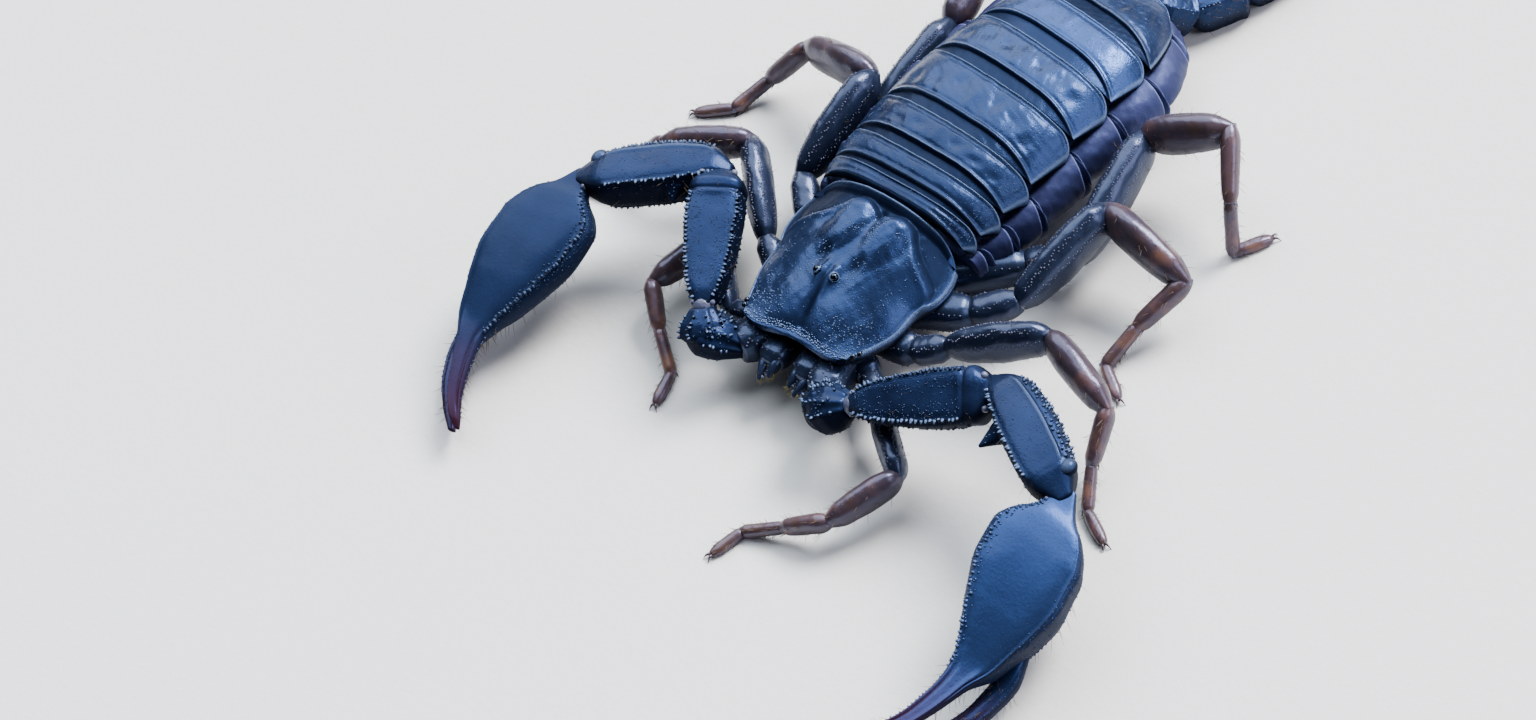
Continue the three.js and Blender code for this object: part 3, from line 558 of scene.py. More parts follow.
def skinFinish(name):
    look = skinLook
    f = Finish(name, IOR=1.45, Specular_Tint=look["tint"])
    wrinkle = f.noise(5.0, 5.0, 0.65)
    colour = f.blend(f.noise(0.8), look["face"], look["violet"])
    # crease lines in the paler fold colour: a painted highlight along the fold edges
    colour = f.blend(f.painted("worn"), colour, look["fold"])
    # the shaded copy on the flanks' lower and side faces: painted shade
    f.shadeBelow(f.blend(0.7, colour, look["face"]), -0.35, 0.3, 0.2, 0.5)
    return f.feed(Base_Color=colour, Roughness=(0.36 + 0.2 * wrinkle).clip(0.2, 0.8),
                  Normal=f.relief(0.6 * wrinkle + 0.9 * f.noise(1.6), look["bump"])).material


legLook = {
    "top": ink(0.006, 0.009, 0.02), "brown": ink(0.05, 0.026, 0.013), "amber": ink(0.19, 0.085, 0.034),
    # worn is the paler colour of the leg grains: partly wear, partly a painted highlight
    "violet": ink(0.05, 0.032, 0.05), "worn": ink(0.2, 0.2, 0.3), "under": ink(0.003, 0.003, 0.005),
    "coat": 0.15, "coatRough": 0.16, "bump": 0.000016,
}


def legFinish(name, dark):
    # dark 1 gives the blue-black of the femora, 0 the amber brown of the feet
    look = legLook
    # the tint colours the reflections lilac to blue: a painted reflection of a blue sky
    tint = ink(0.42 + 0.2 * (1 - dark), 0.52 + 0.1 * (1 - dark), 1.0)
    f = Finish(name, IOR=1.52, Specular_Tint=tint, Coat_Weight=look["coat"],
               Coat_Roughness=look["coatRough"])
    clouds, fine = f.noise(0.9), f.noise(8.0, 4.0, 0.6)
    brown = f.blend(sharpen(clouds + 0.25 * fine, 0.35, 0.85), look["brown"], look["violet"])
    brown = f.blend(sharpen(clouds, 0.52, 0.74) * 0.75, brown, look["amber"])
    darkness = dark + 0.35 * (0.5 - f.painted("along")) + 0.3 * (clouds - 0.5)
    colour = f.blend(darkness.clip(), brown, look["top"])
    colour = f.blend(f.painted("worn") * 0.3, colour, look["worn"])
    # the shaded copy on the legs' lower and side faces: painted shade
    f.shadeBelow(f.blend(0.45, colour, look["under"]), -0.5, 0.35, 0.2, 0.5)
    height = 0.5 * fine + 0.6 * f.noise(2.5, 2.0) + 0.2 * f.cells(10.0)
    return f.feed(Base_Color=colour, Roughness=(0.3 + 0.22 * (fine - 0.4)).clip(0.15, 0.7),
                  Normal=f.relief(height, look["bump"])).material


def plainFinish(name, colour, second, rough, scale=3.0, coat=0.0, bumpHeight=0.00003, tint=ink(1, 1, 1)):
    f = Finish(name, IOR=1.5, Specular_Tint=tint, Coat_Weight=coat, Coat_Roughness=0.08)
    cloud = f.noise(scale)
    return f.feed(Base_Color=f.blend(cloud, colour, second),
                  Roughness=(rough + 0.15 * (cloud - 0.5)).clip(0.03, 0.95),
                  Normal=f.relief(f.noise(scale * 5), bumpHeight)).material


finishes = {
    "shell": shellFinish("blueBlackShell", 0.85),
    "shield": shellFinish("shieldShell", 0.8, 0.9),
    "arm": shellFinish("armShell", 0.36, 0.0, 1.1, 0.45, 0.9, shellLook["armTint"]),
    "skin": skinFinish("foldedSkin"),
    "femur": legFinish("legFemurHorn", 1.3),
    "patella": legFinish("legPatellaHorn", 0.45),
    "foot": legFinish("legFootHorn", 0.05),
    "finger": fingerFinish("fingerHorn", 0.4, 0.45, 0.9),
    # the two hands are copies of one finish with different sheen and shaded share: the left a brighter, lit
    # copy and the right a darker, shaded copy, as painted light
    "handLeft": fingerFinish("leftHandLitHorn", 0.75, 0.3, 0.8),
    "handRight": fingerFinish("rightHandShadedHorn", 0.18, 0.5, 0.92),
    "jaw": legFinish("jawHorn", 1.7),
    "telson": plainFinish("telsonHorn", ink(0.05, 0.02, 0.012), ink(0.11, 0.045, 0.02), 0.3, 1.2, 0.2),
    "sting": plainFinish("stingHorn", ink(0.03, 0.01, 0.008), ink(0.05, 0.018, 0.012), 0.2, 2.0, 0.4),
    # the eye's tint colours its reflections blue: a painted reflection of a blue sky
    "eye": plainFinish("eyeGloss", ink(0.0004, 0.0004, 0.0006), ink(0.001, 0.001, 0.0014), 0.08, 2.0, 0.0,
                       0.000001, ink(0.5, 0.68, 1.0)),
    "comb": plainFinish("combHorn", ink(0.12, 0.07, 0.04), ink(0.2, 0.13, 0.08), 0.5),
    "joint": plainFinish("jointSkin", ink(0.09, 0.1, 0.17), ink(0.025, 0.03, 0.06), 0.32, 2.0),
    "hair": plainFinish("amberHair", ink(0.04, 0.026, 0.016), ink(0.09, 0.06, 0.032), 0.45, 1.0),
    "bristle": plainFinish("yellowBristle", ink(0.3, 0.26, 0.05), ink(0.45, 0.36, 0.1), 0.4, 1.0),
}
print("finishes made")


shieldLook = {
    "rows": 170, "columns": 181, "eyePlace": [0.37, 2.52], "eyeSize": 0.18,
    "lobeRise": 0.15, "furrow": 0.12, "groove": 0.11, "rim": 0.055, "collar": 0.32, "front": -0.02,
    "disc": [[0, 5.35], [0.25, 5.6], [0.85, 5.84], [1.35, 5.72], [1.7, 5.3], [2.05, 5.0], [2.6, 4.7],
             [3.1, 4.35], [3.3, 3.8], [3.6, 3.1]],
    # mounds and hollows on both sides: height, place and width across, place and width along
    "mounds": [[0.2, 0, 0.44, 2.5, 0.62], [0.12, 1.0, 0.75, 1.35, 0.85], [-0.07, 1.95, 0.3, 2.1, 0.75],
               [0.05, 1.5, 0.5, 3.1, 0.6], [-0.08, 0.75, 0.22, 3.35, 0.4], [-0.06, 1.68, 0.26, 4.75, 0.8],
               [-0.035, 0.72, 0.24, 3.15, 0.35]],
    # the edge under the rim: share of the half width and how far down
    "sides": [[1.008, -0.06], [1.0, -0.2], [0.985, -0.34], [0.94, -0.42], [0.6, -0.42], [0.2, -0.42]],
    # rounding of the front and rear: share of the height and how far out
    "ends": [[0.97, 0.03], [0.9, 0.05], [0.75, 0.06]],
    # rows of grains behind the front edge: distance from it and size
    "frontRows": [[0.03, 0.05], [0.12, 0.042], [0.24, 0.034]],
}


def shieldHalf(y):
    return trunk("shieldHalf", y) + 0.22 * bump(y, 4.9, 1.1) + 0.12 * bump(y, 2.4, 1.0)


def shieldEdge(y):
    return trunk("shieldEdge", y) - 0.14 * bump(y, 5.2, 1.3)


def shieldMiddle(y):
    # the shield is stiff, so its middle line stays straight where the trunk bends
    return 0.38 * step(y, 2.4, 5.6)


def shieldRear(t):
    # where the shield ends, its rear corners well rounded
    a = np.clip((t - 0.72) / 0.29, 0, 1)
    return trunkShape["shieldLength"] - 0.8 * (1 - (1 - a**2.2) ** 0.6)


def shieldFurrow(x):
    return 5.25 - 1.35 * np.clip((x - 1.1) / 2.0, 0, 1) ** 1.4


def shieldTop(x, y):
    s = shieldLook
    w, edge = shieldHalf(y), shieldEdge(y)
    t = np.clip(np.abs(x) / w, 0, 1)
    z = edge + (trunk("shieldCrest", y) - edge) * (1 - t**2.4) ** 0.85
    xr = x - shieldMiddle(y)
    ax = np.abs(xr)
    for height, across, acrossWidth, along, alongWidth in s["mounds"]:
        z = z + height * bump(ax, across, acrossWidth) * bump(y, along, alongWidth)
    # a brow ridge over each eye and a groove between them
    z = z + 0.07 * bump(ax, 0.24 + 0.05 * bump(y, 2.5, 0.4), 0.07) * bump(y, 2.55, 0.55)
    z = z - s["groove"] * bump(xr, 0, 0.1) * step(y, 0.2, 0.5) * (1 - step(y, 2.7, 3.3))
    z = z - 0.05 * bump(xr, 0.05, 0.3) * bump(y, 4.1, 0.8)
    # the frontal lobes fall away to the notch between them
    notchWidth = 0.1 + 0.26 * np.clip(1.7 - y, 0, 1.7) / 1.7
    z = z - 0.2 * bump(xr, 0, notchWidth) * (1 - step(y, 0.9, 2.3)) * step(y, -0.4, 0.5)
    # the middle stands above a lower collar that runs round its rear and sides
    inside = curve(s["disc"], ax) - y
    border = np.minimum(shieldRear(t) - y, (1 - t) * w * 0.8)
    z = z - s["collar"] * (1 - step(inside, -0.28, 0.1)) * (0.15 + 0.85 * step(border, 0.02, 0.4))
    z = z + 0.06 * bump(inside, 0.28, 0.24) * step(ax, 0.3, 0.8)
    # two rounded rear lobes with a valley between them, and a furrow behind
    away = np.sqrt(((ax - 0.84) / 0.74) ** 2 + ((y - 5.0) / np.where(y < 5.0, 1.9, 0.9)) ** 2)
    z = z + s["lobeRise"] * (1 - step(away, 0.35, 1.12))
    z = z - 0.1 * bump(xr, 0, 0.16) * step(y, 4.4, 5.2) * (1 - step(y, 5.7, 6.0))
    z = z - s["furrow"] * bump(inside, -0.04, 0.16) * step(ax, 1.7, 2.3) * (1 - step(t, 0.86, 0.97))
    # raised rims at the sides and the rear
    z = z + s["rim"] * bump(border, 0.045, 0.032) - 0.025 * bump(border, 0.13, 0.05) * step(y, 0.5, 1.5)
    spots = np.stack(np.broadcast_arrays(x, y, x * 0), -1)
    return z + (0.03 * wander(spots, 0.42, 3) + 0.012 * wander(spots, 0.13, 6)) * (1 - t**4)


def shieldFront(x, y):
    notch = 0.32 * bump(y, 0, 0.5) * bump(x, 0, 0.7)
    scallop = 0.05 * bump(y, 0, 0.3) * np.cos(np.clip(np.abs(x) / 1.9, 0, 1) * turn)
    return notch + 0.25 * np.clip(np.abs(x) / 2.4, 0, 1.1) ** 6 * bump(y, 0, 0.3) - scallop


def shieldPoint(x, y):
    return lean(x, y + shieldFront(x, y), shieldTop(x, y))


def shieldNormal(x, y):
    d = 0.01
    return unit(np.cross(shieldPoint(x + d, y) - shieldPoint(x - d, y),
                         shieldPoint(x, y + d) - shieldPoint(x, y - d)))


def shieldShade(x, y, out, w):
    # painted shade in the collar and the hollows of the disc, where the shell takes the darker, duller shaded
    # copy
    xr = x - shieldMiddle(y)
    ax = np.abs(xr)
    border = np.minimum(shieldRear(out / w) - y, (w - out) * 0.8)
    collar = (1 - step(curve(shieldLook["disc"], ax) - y, -0.2, 0.12)) * step(border, 0.08, 0.25)
    groove = bump(xr, 0, 0.09) * step(y, 0.4, 0.8) * (1 - step(y, 2.4, 2.9))
    pits = 0.7 * bump(ax, 0.75, 0.2) * bump(y, 3.25, 0.4) + 0.6 * bump(ax, 2.15, 0.35) * bump(y, 2.5, 0.75)
    return np.clip(0.85 * collar + 0.7 * groove + pits, 0, 1)


def roundEnd(ring, way):
    # extra rings that close the shield's front or rear with a rounded edge
    centre, sideShare = ring.mean(0), 0.12
    rings = []
    for k, out in shieldLook["ends"]:
        new = ring.copy()
        new[:, 2] = centre[2] + (ring[:, 2] - centre[2]) * k
        new[:, 0] = centre[0] + (ring[:, 0] - centre[0]) * (1 - (1 - k) * sideShare)
        new[:, 1] += way * out
        rings.append(new)
    return np.array(rings)


def shieldSkin(shape):
    s = shieldLook
    u = np.linspace(-1, 1, s["columns"])
    across = 0.12 * u + 0.88 * np.sin(u * math.pi / 2)
    share = np.linspace(0, 1, s["rows"])[:, None]
    yTop = s["front"] + (shieldRear(np.abs(across))[None] - s["front"]) * share
    y = s["front"] + (shieldRear(np.array(1.0)) - s["front"]) * share
    w, edge = shieldHalf(y), shieldEdge(y)
    x = across[None] * shieldHalf(yTop)
    under, other = ([lean(side * k * w, y + shieldFront(side * k * w, y), edge + drop)
                     for k, drop in s["sides"]] for side in (1, -1))
    rings = np.concatenate([shieldPoint(x, yTop), *under, *other[::-1]], 1)
    marks = np.zeros(rings.shape[:2])
    out = np.abs(across)[None] + 0 * y
    # paler rims round the sides and rear: partly wear, partly a painted highlight
    worn = bump((1 - out) * w, 0.04, 0.05) + bump(shieldRear(out) - yTop, 0.04, 0.045)
    marks[:, :s["columns"]] = np.clip(worn, 0, 1) * 0.8
    # painted shade on the collar, the groove between the eyes and the hollows, carried in the along values
    shades = np.full(rings.shape[:2], 0.5)
    shades[:, :s["columns"]] += 0.5 * shieldShade(x, yTop, out * w, w)
    rings = np.concatenate([roundEnd(rings[0], -1)[::-1], rings, roundEnd(rings[-1], 1)])
    extra = len(s["ends"])
    shades = np.pad(shades, ((extra, extra), (0, 0)), constant_values=0.5)
    shape.skin(rings, shades, np.pad(marks, ((extra, extra), (0, 0))))


def besideEyes(x, y):
    return x > 1.9 + 0.1 * y


def alongFurrow(x, y):
    return np.abs(y - shieldFurrow(x)) < 0.3


# Loose grains of the shield: count, range across, range along, size, and what limits them if anything.
shieldGrains = [
    [110, (1.2, 2.7), (0.1, 1.4), 0.03], [110, (1.6, 3.2), (0.9, 3.4), 0.026, besideEyes],
    [90, (1.1, 3.0), (4.2, 5.4), 0.028, alongFurrow], [50, (0.5, 1.2), (2.3, 3.6), 0.026],
    [120, (0.2, 2.6), (0.3, 5.6), 0.02], [50, (0.9, 2.5), (0.5, 2.2), 0.026],
    [60, (0.1, 0.6), (4.2, 5.6), 0.026],
]


def makeShield():
    shape = Shape()
    shieldSkin(shape)
    edgeX = np.arange(-2.3, 2.31, 0.085)
    for back, size in shieldLook["frontRows"]:
        xs = edgeX + rng.normal(0, 0.02, len(edgeX))
        ys = back + rng.normal(0, 0.02, len(edgeX))
        sizes = rng.uniform(0.7, 1.2, len(xs)) * size
        shape.beads(shieldPoint(xs, ys), shieldNormal(xs, ys), sizes, worn=0.9)
    for count, acrossRange, alongRange, size, *limits in shieldGrains:
        xs, ys = rng.uniform(*acrossRange, count), rng.uniform(*alongRange, count)
        for side in (1, -1):
            px = side * xs + shieldMiddle(ys)
            ok = np.abs(px) < shieldHalf(ys) * 0.985
            for allowed in limits:
                ok &= allowed(xs, ys)
            sizes = rng.uniform(0.6, 1.25, count) * size
            shape.beads(shieldPoint(px, ys)[ok], shieldNormal(px, ys)[ok], sizes[ok], worn=0.8)
            xs, ys = xs + rng.normal(0, 0.05, count), ys + rng.normal(0, 0.05, count)
    ys = np.linspace(0.5, 5.4, 66)
    for side in (1, -1):
        xs = side * shieldHalf(ys) * 0.992
        shape.beads(shieldPoint(xs, ys), shieldNormal(xs, ys), rng.uniform(0.016, 0.03, len(ys)), worn=0.9)
    shape.build("head_shield", finishes["shield"], ["carapace"], "shell")


def eyeRim(shape, centre, outward, radius, thick, columns=32, around=8):
    # small ring of shell round an eye
    a = unit(np.cross(outward, [0, 1.0, 0]))
    b = np.cross(outward, a)
    angle = np.linspace(0, turn, columns + 1)[:-1, None]
    out = np.cos(angle) * a + np.sin(angle) * b
    middle = centre + radius * out
    tube = [middle + thick * (math.cos(v) * out + math.sin(v) * outward)
            for v in np.arange(around) / around * turn]
    k, m = np.meshgrid(np.arange(columns), np.arange(around), indexing="ij")
    nextK, nextM = (k + 1) % columns * around, (m + 1) % around
    quads = np.stack([k * around + m, k * around + nextM, nextK + nextM, nextK + m], -1)
    shape.add(np.array(tube).transpose(1, 0, 2), quads.reshape(-1, 4)[:, ::-1], worn=0.9)


def makeEyes(side, word):
    place, size = shieldLook["eyePlace"], shieldLook["eyeSize"]
    spot = shieldPoint(side * place[0] + shieldMiddle(place[1]), place[1])
    outward = unit(np.array([side * 0.75, -0.1, 0.8]))
    eye, lids, cluster = Shape(), Shape(), Shape()
    knob(eye, spot + outward * 0.03, size, 22, 30)
    eye.build(f"eye_{word}", finishes["eye"], [f"eye_median_{word}"], "eye")
    eyeRim(lids, spot + outward * 0.055, outward, size * 0.96, 0.032)
    lids.build(f"eye_rim_{word}", finishes["shell"], (), "shell")
    for y, radius in ((0.42, 0.11), (0.68, 0.1)):
        at = lean(side * (trunk("shieldHalf", y) - 0.03), y, trunk("shieldEdge", y) + 0.1)
        knob(cluster, at, radius, 14, 20, (1, 1.15, 1))
    cluster.build(f"side_eyes_{word}", finishes["eye"], [f"eyes_lateral_{word}"], "eye")


makeShield()
for side, word in bothSides:
    makeEyes(side, word)
print("head shield and eyes made")


plateLook = {
    "gap": [0.1, 0.3, 0.46, 0.55, 0.6, 0.66, 0.7],      # from the plate before back to the front ridge
    "early": [0.22, 0.26, 0.1, 0.12, 0.0, 0.0, 0.0],    # how much earlier the rear edge ends in the middle
    "corner": [0.56, 0.56, 0.56, 0.728, 0.728, 0.728, 1.064],
    "trim": [0.05, 0.05, 0.05, 0.05, 0.05, 0.05, 0.015],
    "uneven": [1, 1, 1, 1, 1, 0.4, 1],                  # the sixth plate is the smoothest
    # per-plate sheen levels stand in for the light: the rear plates lit brighter and the front plates darker,
    # a painted sheen
    "sheenLevel": [0.36, 0.4, 0.48, 0.72, 0.95, 1.7, 0.5],
    "rim": 0.05, "step": 0.17, "dents": 0.07, "columns": 161, "shade": 0.75,
    "marks": [[0.24, 0.08], [0.5, 0.1], [0.73, 0.07]],  # muscle marks: place and width across
    "inner": [[0.995, 0.45], [0.96, 0.85], [0.7, 1], [0.4, 1], [0.1, 1], [0.0, 0.75]],
}


def backPoint(s, y, d=0.0):
    w, edge, crest = trunk("backHalf", y) - d * 0.9, trunk("backEdge", y), trunk("backCrest", y) - d
    dome = (1 - np.clip(np.abs(s), 0, 1) ** 3.2) ** 0.75
    return np.stack(np.broadcast_arrays(s * w, y + 0 * s, edge + (crest - edge) * dome), -1)


def earlier(k, s):
    return plateLook["early"][k] * (1 - np.abs(s) ** 3)


def plateRear(k, s):
    a = np.clip((np.abs(s) - 0.83) / 0.17, 0, 1)
    return trunkShape["plateRear"][k] - earlier(k, s) - plateLook["corner"][k] * (1 - np.sqrt(1 - a * a))


def plateFront(k, s):
    if k == 0:
        return trunkShape["shieldLength"] + 0.12
    return trunkShape["plateRear"][k - 1] + 0.06 - earlier(k - 1, s)


def plateSurface(k, s, t):
    # point on the plate's outside, s across from -1 to 1 and t from front to rear
    look, out = plateLook, np.abs(s)
    start, rear = plateFront(k, s), plateRear(k, s)
    y = start + (rear - start) * t
    p = backPoint(s * (1 - look["trim"][k] * (1 - t)), y)
    ridge = start + look["gap"][k] * (1 - out**4)
    ahead, behind, edge = y - ridge, rear - y, 1 - out
    middle = ahead / np.maximum(rear - ridge, 0.1)
    z = -look["step"] * (1 - step(ahead, -0.12, 0.02))
    z = z + 0.035 * bump(ahead, 0.03, 0.05) - 0.03 * bump(ahead, 0.17, 0.09)
    z = z + look["rim"] * bump(behind, 0.05, 0.036) - 0.04 * bump(behind, 0.19, 0.09)
    z = z + 0.05 * np.sin(np.clip(middle, 0, 1) * math.pi)
    z = z + 0.04 * bump(edge, 0.02, 0.012) - 0.03 * bump(edge, 0.055, 0.02)
    z = z - 0.09 * step(t, 0.985, 1.0)
    if k >= 2:
        # shallow ovals either side of a faint middle ridge
        for place, wide in look["marks"]:
            along = bump(middle, 0.42 + 0.12 * math.sin(place * 20 + k), 0.17)
            z = z - look["dents"] * look["uneven"][k] * bump(out, place, wide) * along
        z = z + 0.03 * bump(s, 0, 0.06) * step(middle, 0.05, 0.3)
    if k >= 4:
        z = z + 0.05 * bump(out, 0.62, 0.2) * bump(middle, 0.62, 0.25)
    z = z + look["uneven"][k] * (0.03 * wander(p, 0.4, 5 + k) + 0.013 * wander(p, 0.14, 9 + k))
    p[..., 2] += z * (1 - out**10)
    return lean(p[..., 0], p[..., 1], p[..., 2])


def plateGrains(shape, k, s, t, largest):
    d = 0.004
    p = plateSurface(k, s, t)
    normal = unit(np.cross(plateSurface(k, s + d, t) - p, plateSurface(k, s, t + d) - p))
    shape.beads(p, normal, rng.uniform(0.01, largest, len(s)), worn=0.7)


def makePlate(k):
    look = plateLook
    shape = Shape()
    u = np.linspace(-1, 1, look["columns"])[:, None]
    across = 0.6 * u + 0.4 * np.sin(u * math.pi / 2)
    out = np.abs(across)
    before = trunkShape["plateRear"][k - 1] if k else trunkShape["shieldLength"]
    length = trunkShape["plateRear"][k] - before
    count = int(30 + length * 26)
    t = np.linspace(0, 1, count)[None]
    innerT, innerShare = np.array(look["inner"]).T
    inside = plateSurface(k, across, innerT[None])
    inside[..., 2] -= trunkShape["plate"] * (1 - 0.62 * out**14) * innerShare
    # each ring runs from front to rear on the outside and back inside
    rings = np.concatenate([plateSurface(k, across, t), inside], 1)
    marks, shades = np.zeros(rings.shape[:2]), np.full(rings.shape[:2], 0.5)
    ahead = t * length - look["gap"][k] * (1 - out**4) - 0.03
    # paler rear rim, front ridge and side edges: partly wear, partly a painted highlight
    worn = bump((1 - t) * length, 0.05, 0.04) + 0.8 * bump(ahead, 0, 0.03) + bump(1 - out, 0.012, 0.01)
    marks[:, :count] = np.clip(worn, 0, 1) * 0.8
    # painted shade on the strip ahead of the front ridge, under the overhang of the plate before
    shades[:, :count] += 0.5 * (1 - step(ahead, -0.09, -0.01))
    shape.skin(rings, shades, marks)
    # sparse grains all over, then more toward the sides
    loose, sideGrains = 70 + 20 * k, 90
    s = rng.uniform(-0.95, 0.95, loose)
    plateGrains(shape, k, s, rng.uniform(0.35 if k < 6 else 0.2, 0.98, loose), 0.026)
    s = np.sign(rng.uniform(-1, 1, sideGrains)) * rng.uniform(0.72, 0.97, sideGrains)
    plateGrains(shape, k, s, rng.uniform(0.3, 0.97, sideGrains), 0.024)
    finish = shellFinish(f"plateShell{k + 1}", look["sheenLevel"][k], look["shade"])
    shape.build(f"back_plate_{k + 1}", finish, [f"tergite_{k + 1}"], "shell")


for k in range(7):
    makePlate(k)
print("back plates made")


flankLook = {
    "slant": [-0.5, -0.65, -0.8, -0.9, -0.9, -0.85, -0.7],   # how far each crease runs back as it goes down
    "depth": 0.2, "fold": 0.08, "puff": 0.12, "rows": 760, "down": 48, "ahead": 0.28,
    "low": [[6.5, 1.0], [8, 0.85], [17.5, 0.85], [20.35, 1.25]], "bellySteps": [10.0, 12.2, 14.6, 16.9],
}


def spline(knots, v):
    # Catmull-Rom curve through knots, shape (rows, knots, 2), at v from 0 to 1
    n = knots.shape[1]
    before, beyond = 2 * knots[:, :1] - knots[:, 1:2], 2 * knots[:, -1:] - knots[:, -2:-1]
    padded = np.concatenate([before, knots, beyond], 1)
    place = np.clip(v, 0, 1) * (n - 1)
    k = np.minimum(place.astype(int), n - 2)
    t = (place - k)[None, :, None]
    a, b, c, d = (padded[:, k + i] for i in range(4))
    return 0.5 * (2 * b + (c - a) * t + (2 * a - 5 * b + 4 * c - d) * t**2 + (3 * b - a - 3 * c + d) * t**3)


def flankFolds(y, v, show):
    # how far the folded skin stands out, and where its creases are painted
    look = flankLook
    push, painted = np.zeros((len(y), len(v))), np.zeros((len(y), len(v)))
    drop = np.clip((v - 0.12) / 0.75, 0, 1)
    rears = [6.4, *(rear - look["ahead"] for rear in trunkShape["plateRear"]), 20.6]
    for k in range(7):
        rear = rears[k + 1] - (0.6 if k == 6 else 0)
        crease = rear + look["slant"][k] * drop**1.3 + 0.05 * np.sin(drop * 5 + k)
        near = y - crease
        # each plate of skin overlaps a narrow lens of skin, and that the next plate
        lensSpan = 0.26 + 0.08 * math.sin(k * 2.1)
        span = 0.06 + lensSpan * np.sin(np.clip(drop * 1.05 + 0.06, 0, 1) * math.pi)
        after = rears[k + 2]
        lens = np.clip(near / span, 0, 1)
        through = np.clip((near - span) / np.maximum(after - crease - span, 0.3), 0, 1)
        isLens = step(near, 0.0, 0.03) * (1 - step(near, span, span + 0.03))
        isPlate = step(near, span, span + 0.03) * (y < after)
        push += (-look["depth"] + (look["depth"] + look["fold"]) * lens**0.8) * isLens * show
        rise = -look["depth"] + (look["depth"] + look["puff"]) * np.sin(through * math.pi / 2) ** 0.7
        push += rise * isPlate * (1 if k < 6 else 0.3) * show
        if k == 0:
            push += look["puff"] * 0.6 * (y < crease) * show
        # paler lines along the fold edges: a painted highlight
        lines = 0.8 * bump(near, -0.03, 0.025) + 0.7 * bump(near, span - 0.02, 0.025)
        painted += lines * step(v, 0.1, 0.25)
    return push, np.clip(painted, 0, 1)


def makeTrunk():
    look = flankLook
    y = np.linspace(6.52, 20.32, look["rows"])
    w, edge, bulge = trunk("backHalf", y), trunk("backEdge", y), trunk("flankBulge", y)
    low = curve(look["low"], y)
    v = np.linspace(0, 1, look["down"])
    # the flank's section: distance from the middle and height, from under the plates to the belly
    knots = np.array([
        [w - 0.6, edge - 0.36], [w - 0.1, edge - 0.17], [w + 0.62 * bulge + 0.1, edge - 0.42],
        [w + bulge + 0.16, low + (edge - low) * 0.5], [w + 0.75 * bulge - 0.05, low + (edge - low) * 0.24],
        [w + 0.1 * bulge - 0.3, low + 0.22], [0.78 * w, low + 0.03],
    ])
    section = spline(knots.transpose(2, 0, 1), v)
    across = np.gradient(section, axis=1)
    outward = unit(np.stack([-across[..., 1], across[..., 0]], -1))
    outward *= np.sign(outward[..., 0].mean())
    show = step(v, 0.04, 0.2) * (1 - step(v, 0.86, 1.0))
    folds, painted = flankFolds(y[:, None], v, show)
    flanks = []
    for side in (1, -1):
        points = np.stack([section[..., 0] * side, y[:, None] + 0 * folds, section[..., 1]], -1)
        wrinkles = 0.035 * wander(points, 0.4, 2) + 0.008 * wander(points * [0.6, 1.6, 0.6], 0.2, 4)
        push = folds + wrinkles * show
        points[..., 0] += side * outward[..., 0] * push
        points[..., 2] += outward[..., 1] * push
        flanks.append(points)
    top = [backPoint(s, y, 0.5) - [0, 0, 0.12] for s in (-0.6, -0.3, 0.0, 0.3, 0.6)]
    z = low + 0.02
    for rear in look["bellySteps"]:
        z = z + 0.07 * step(y - rear, -0.05, 0.02) - 0.07 * step(y - rear, 0.1, 1.5)
    belly = [np.stack([s * w, y, z], -1) for s in (0.5, 0.25, 0.0, -0.25, -0.5)]
    rings = np.concatenate([np.stack(top, 1), flanks[0], np.stack(belly, 1), flanks[1][:, ::-1]], 1)
    none = np.zeros((len(y), len(top)))
    marks = np.concatenate([none, painted, none, painted[:, ::-1]], 1)
    shape = Shape()
    shape.skin(lean(rings[..., 0], rings[..., 1], rings[..., 2]), 0.5, marks)
    shape.build("trunk_skin", finishes["skin"], ["trunk"], "membrane")


makeTrunk()


underLook = {
    # the underside's section, from the edge to the middle: share of the half width and drop
    "section": [[0.86, -0.5], [0.9, -0.62], [0.84, -0.9], [0.62, -1.15], [0.3, -1.25]], "middle": -1.27,
    "coxa": [[0.0, 0.8, 0.85], [0.3, 1, 1.02], [0.75, 0.97, 1], [0.94, 0.86, 0.9], [1.02, 0.6, 0.62]],
    "armCoxa": [[-0.02, 0.6, 0.62], [0.3, 0.8, 0.82], [0.8, 0.8, 0.82], [1.0, 0.68, 0.7]],
    "combBar": [[-0.02, 0.12, 0.1], [0.1, 0.26, 0.14], [0.9, 0.2, 0.12], [1.0, 0.1, 0.08]],
    "combTooth": [[0.0, 0.1, 0.09], [0.5, 0.13, 0.1], [1.0, 0.08, 0.07]], "combTeeth": 7,
}


def makeUnderside():
    look = underLook
    shape = Shape()
    y = np.linspace(0.55, 6.35, 60)
    w, edge = trunk("shieldHalf", y), trunk("shieldEdge", y)
    left, right = ([lean(side * s * w, y, edge + z) for s, z in look["section"]] for side in (1, -1))
    shape.skin(np.stack([*left, lean(0 * w, y, edge + look["middle"]), *right[::-1]], 1), 0.5)
    for side, word in bothSides:
        for k, size in enumerate(legShape["coxaSizes"]):
            start = lean(side * 0.55, legShape["coxaStarts"][k], 1.5)
            end = mirrored(legShape["coxaEnds"][k], side)
            coxa = Limb(start, end, side, scaled(even(look["coxa"]), size), 2.6)
            coxa.surface(shape, 40, 36)
            for angle in (0.8, 2.35, 3.9, 5.5):
                coxa.row(shape, np.arange(0.35, 0.97, 0.05), angle, 0.035, 0.05)
        coxa = Limb(lean(side * 1.45, 1.25, 1.65), armShape["coxa"][word], side, even(look["armCoxa"]), 2.5)
        coxa.surface(shape, 40, 36)
        for angle in (0.8, 1.6, 2.4):
            coxa.row(shape, np.arange(0.2, 1.0, 0.045), angle, 0.045, 0.12)
    shape.build("underside", finishes["jaw"], ["coxosternum"], "shell")


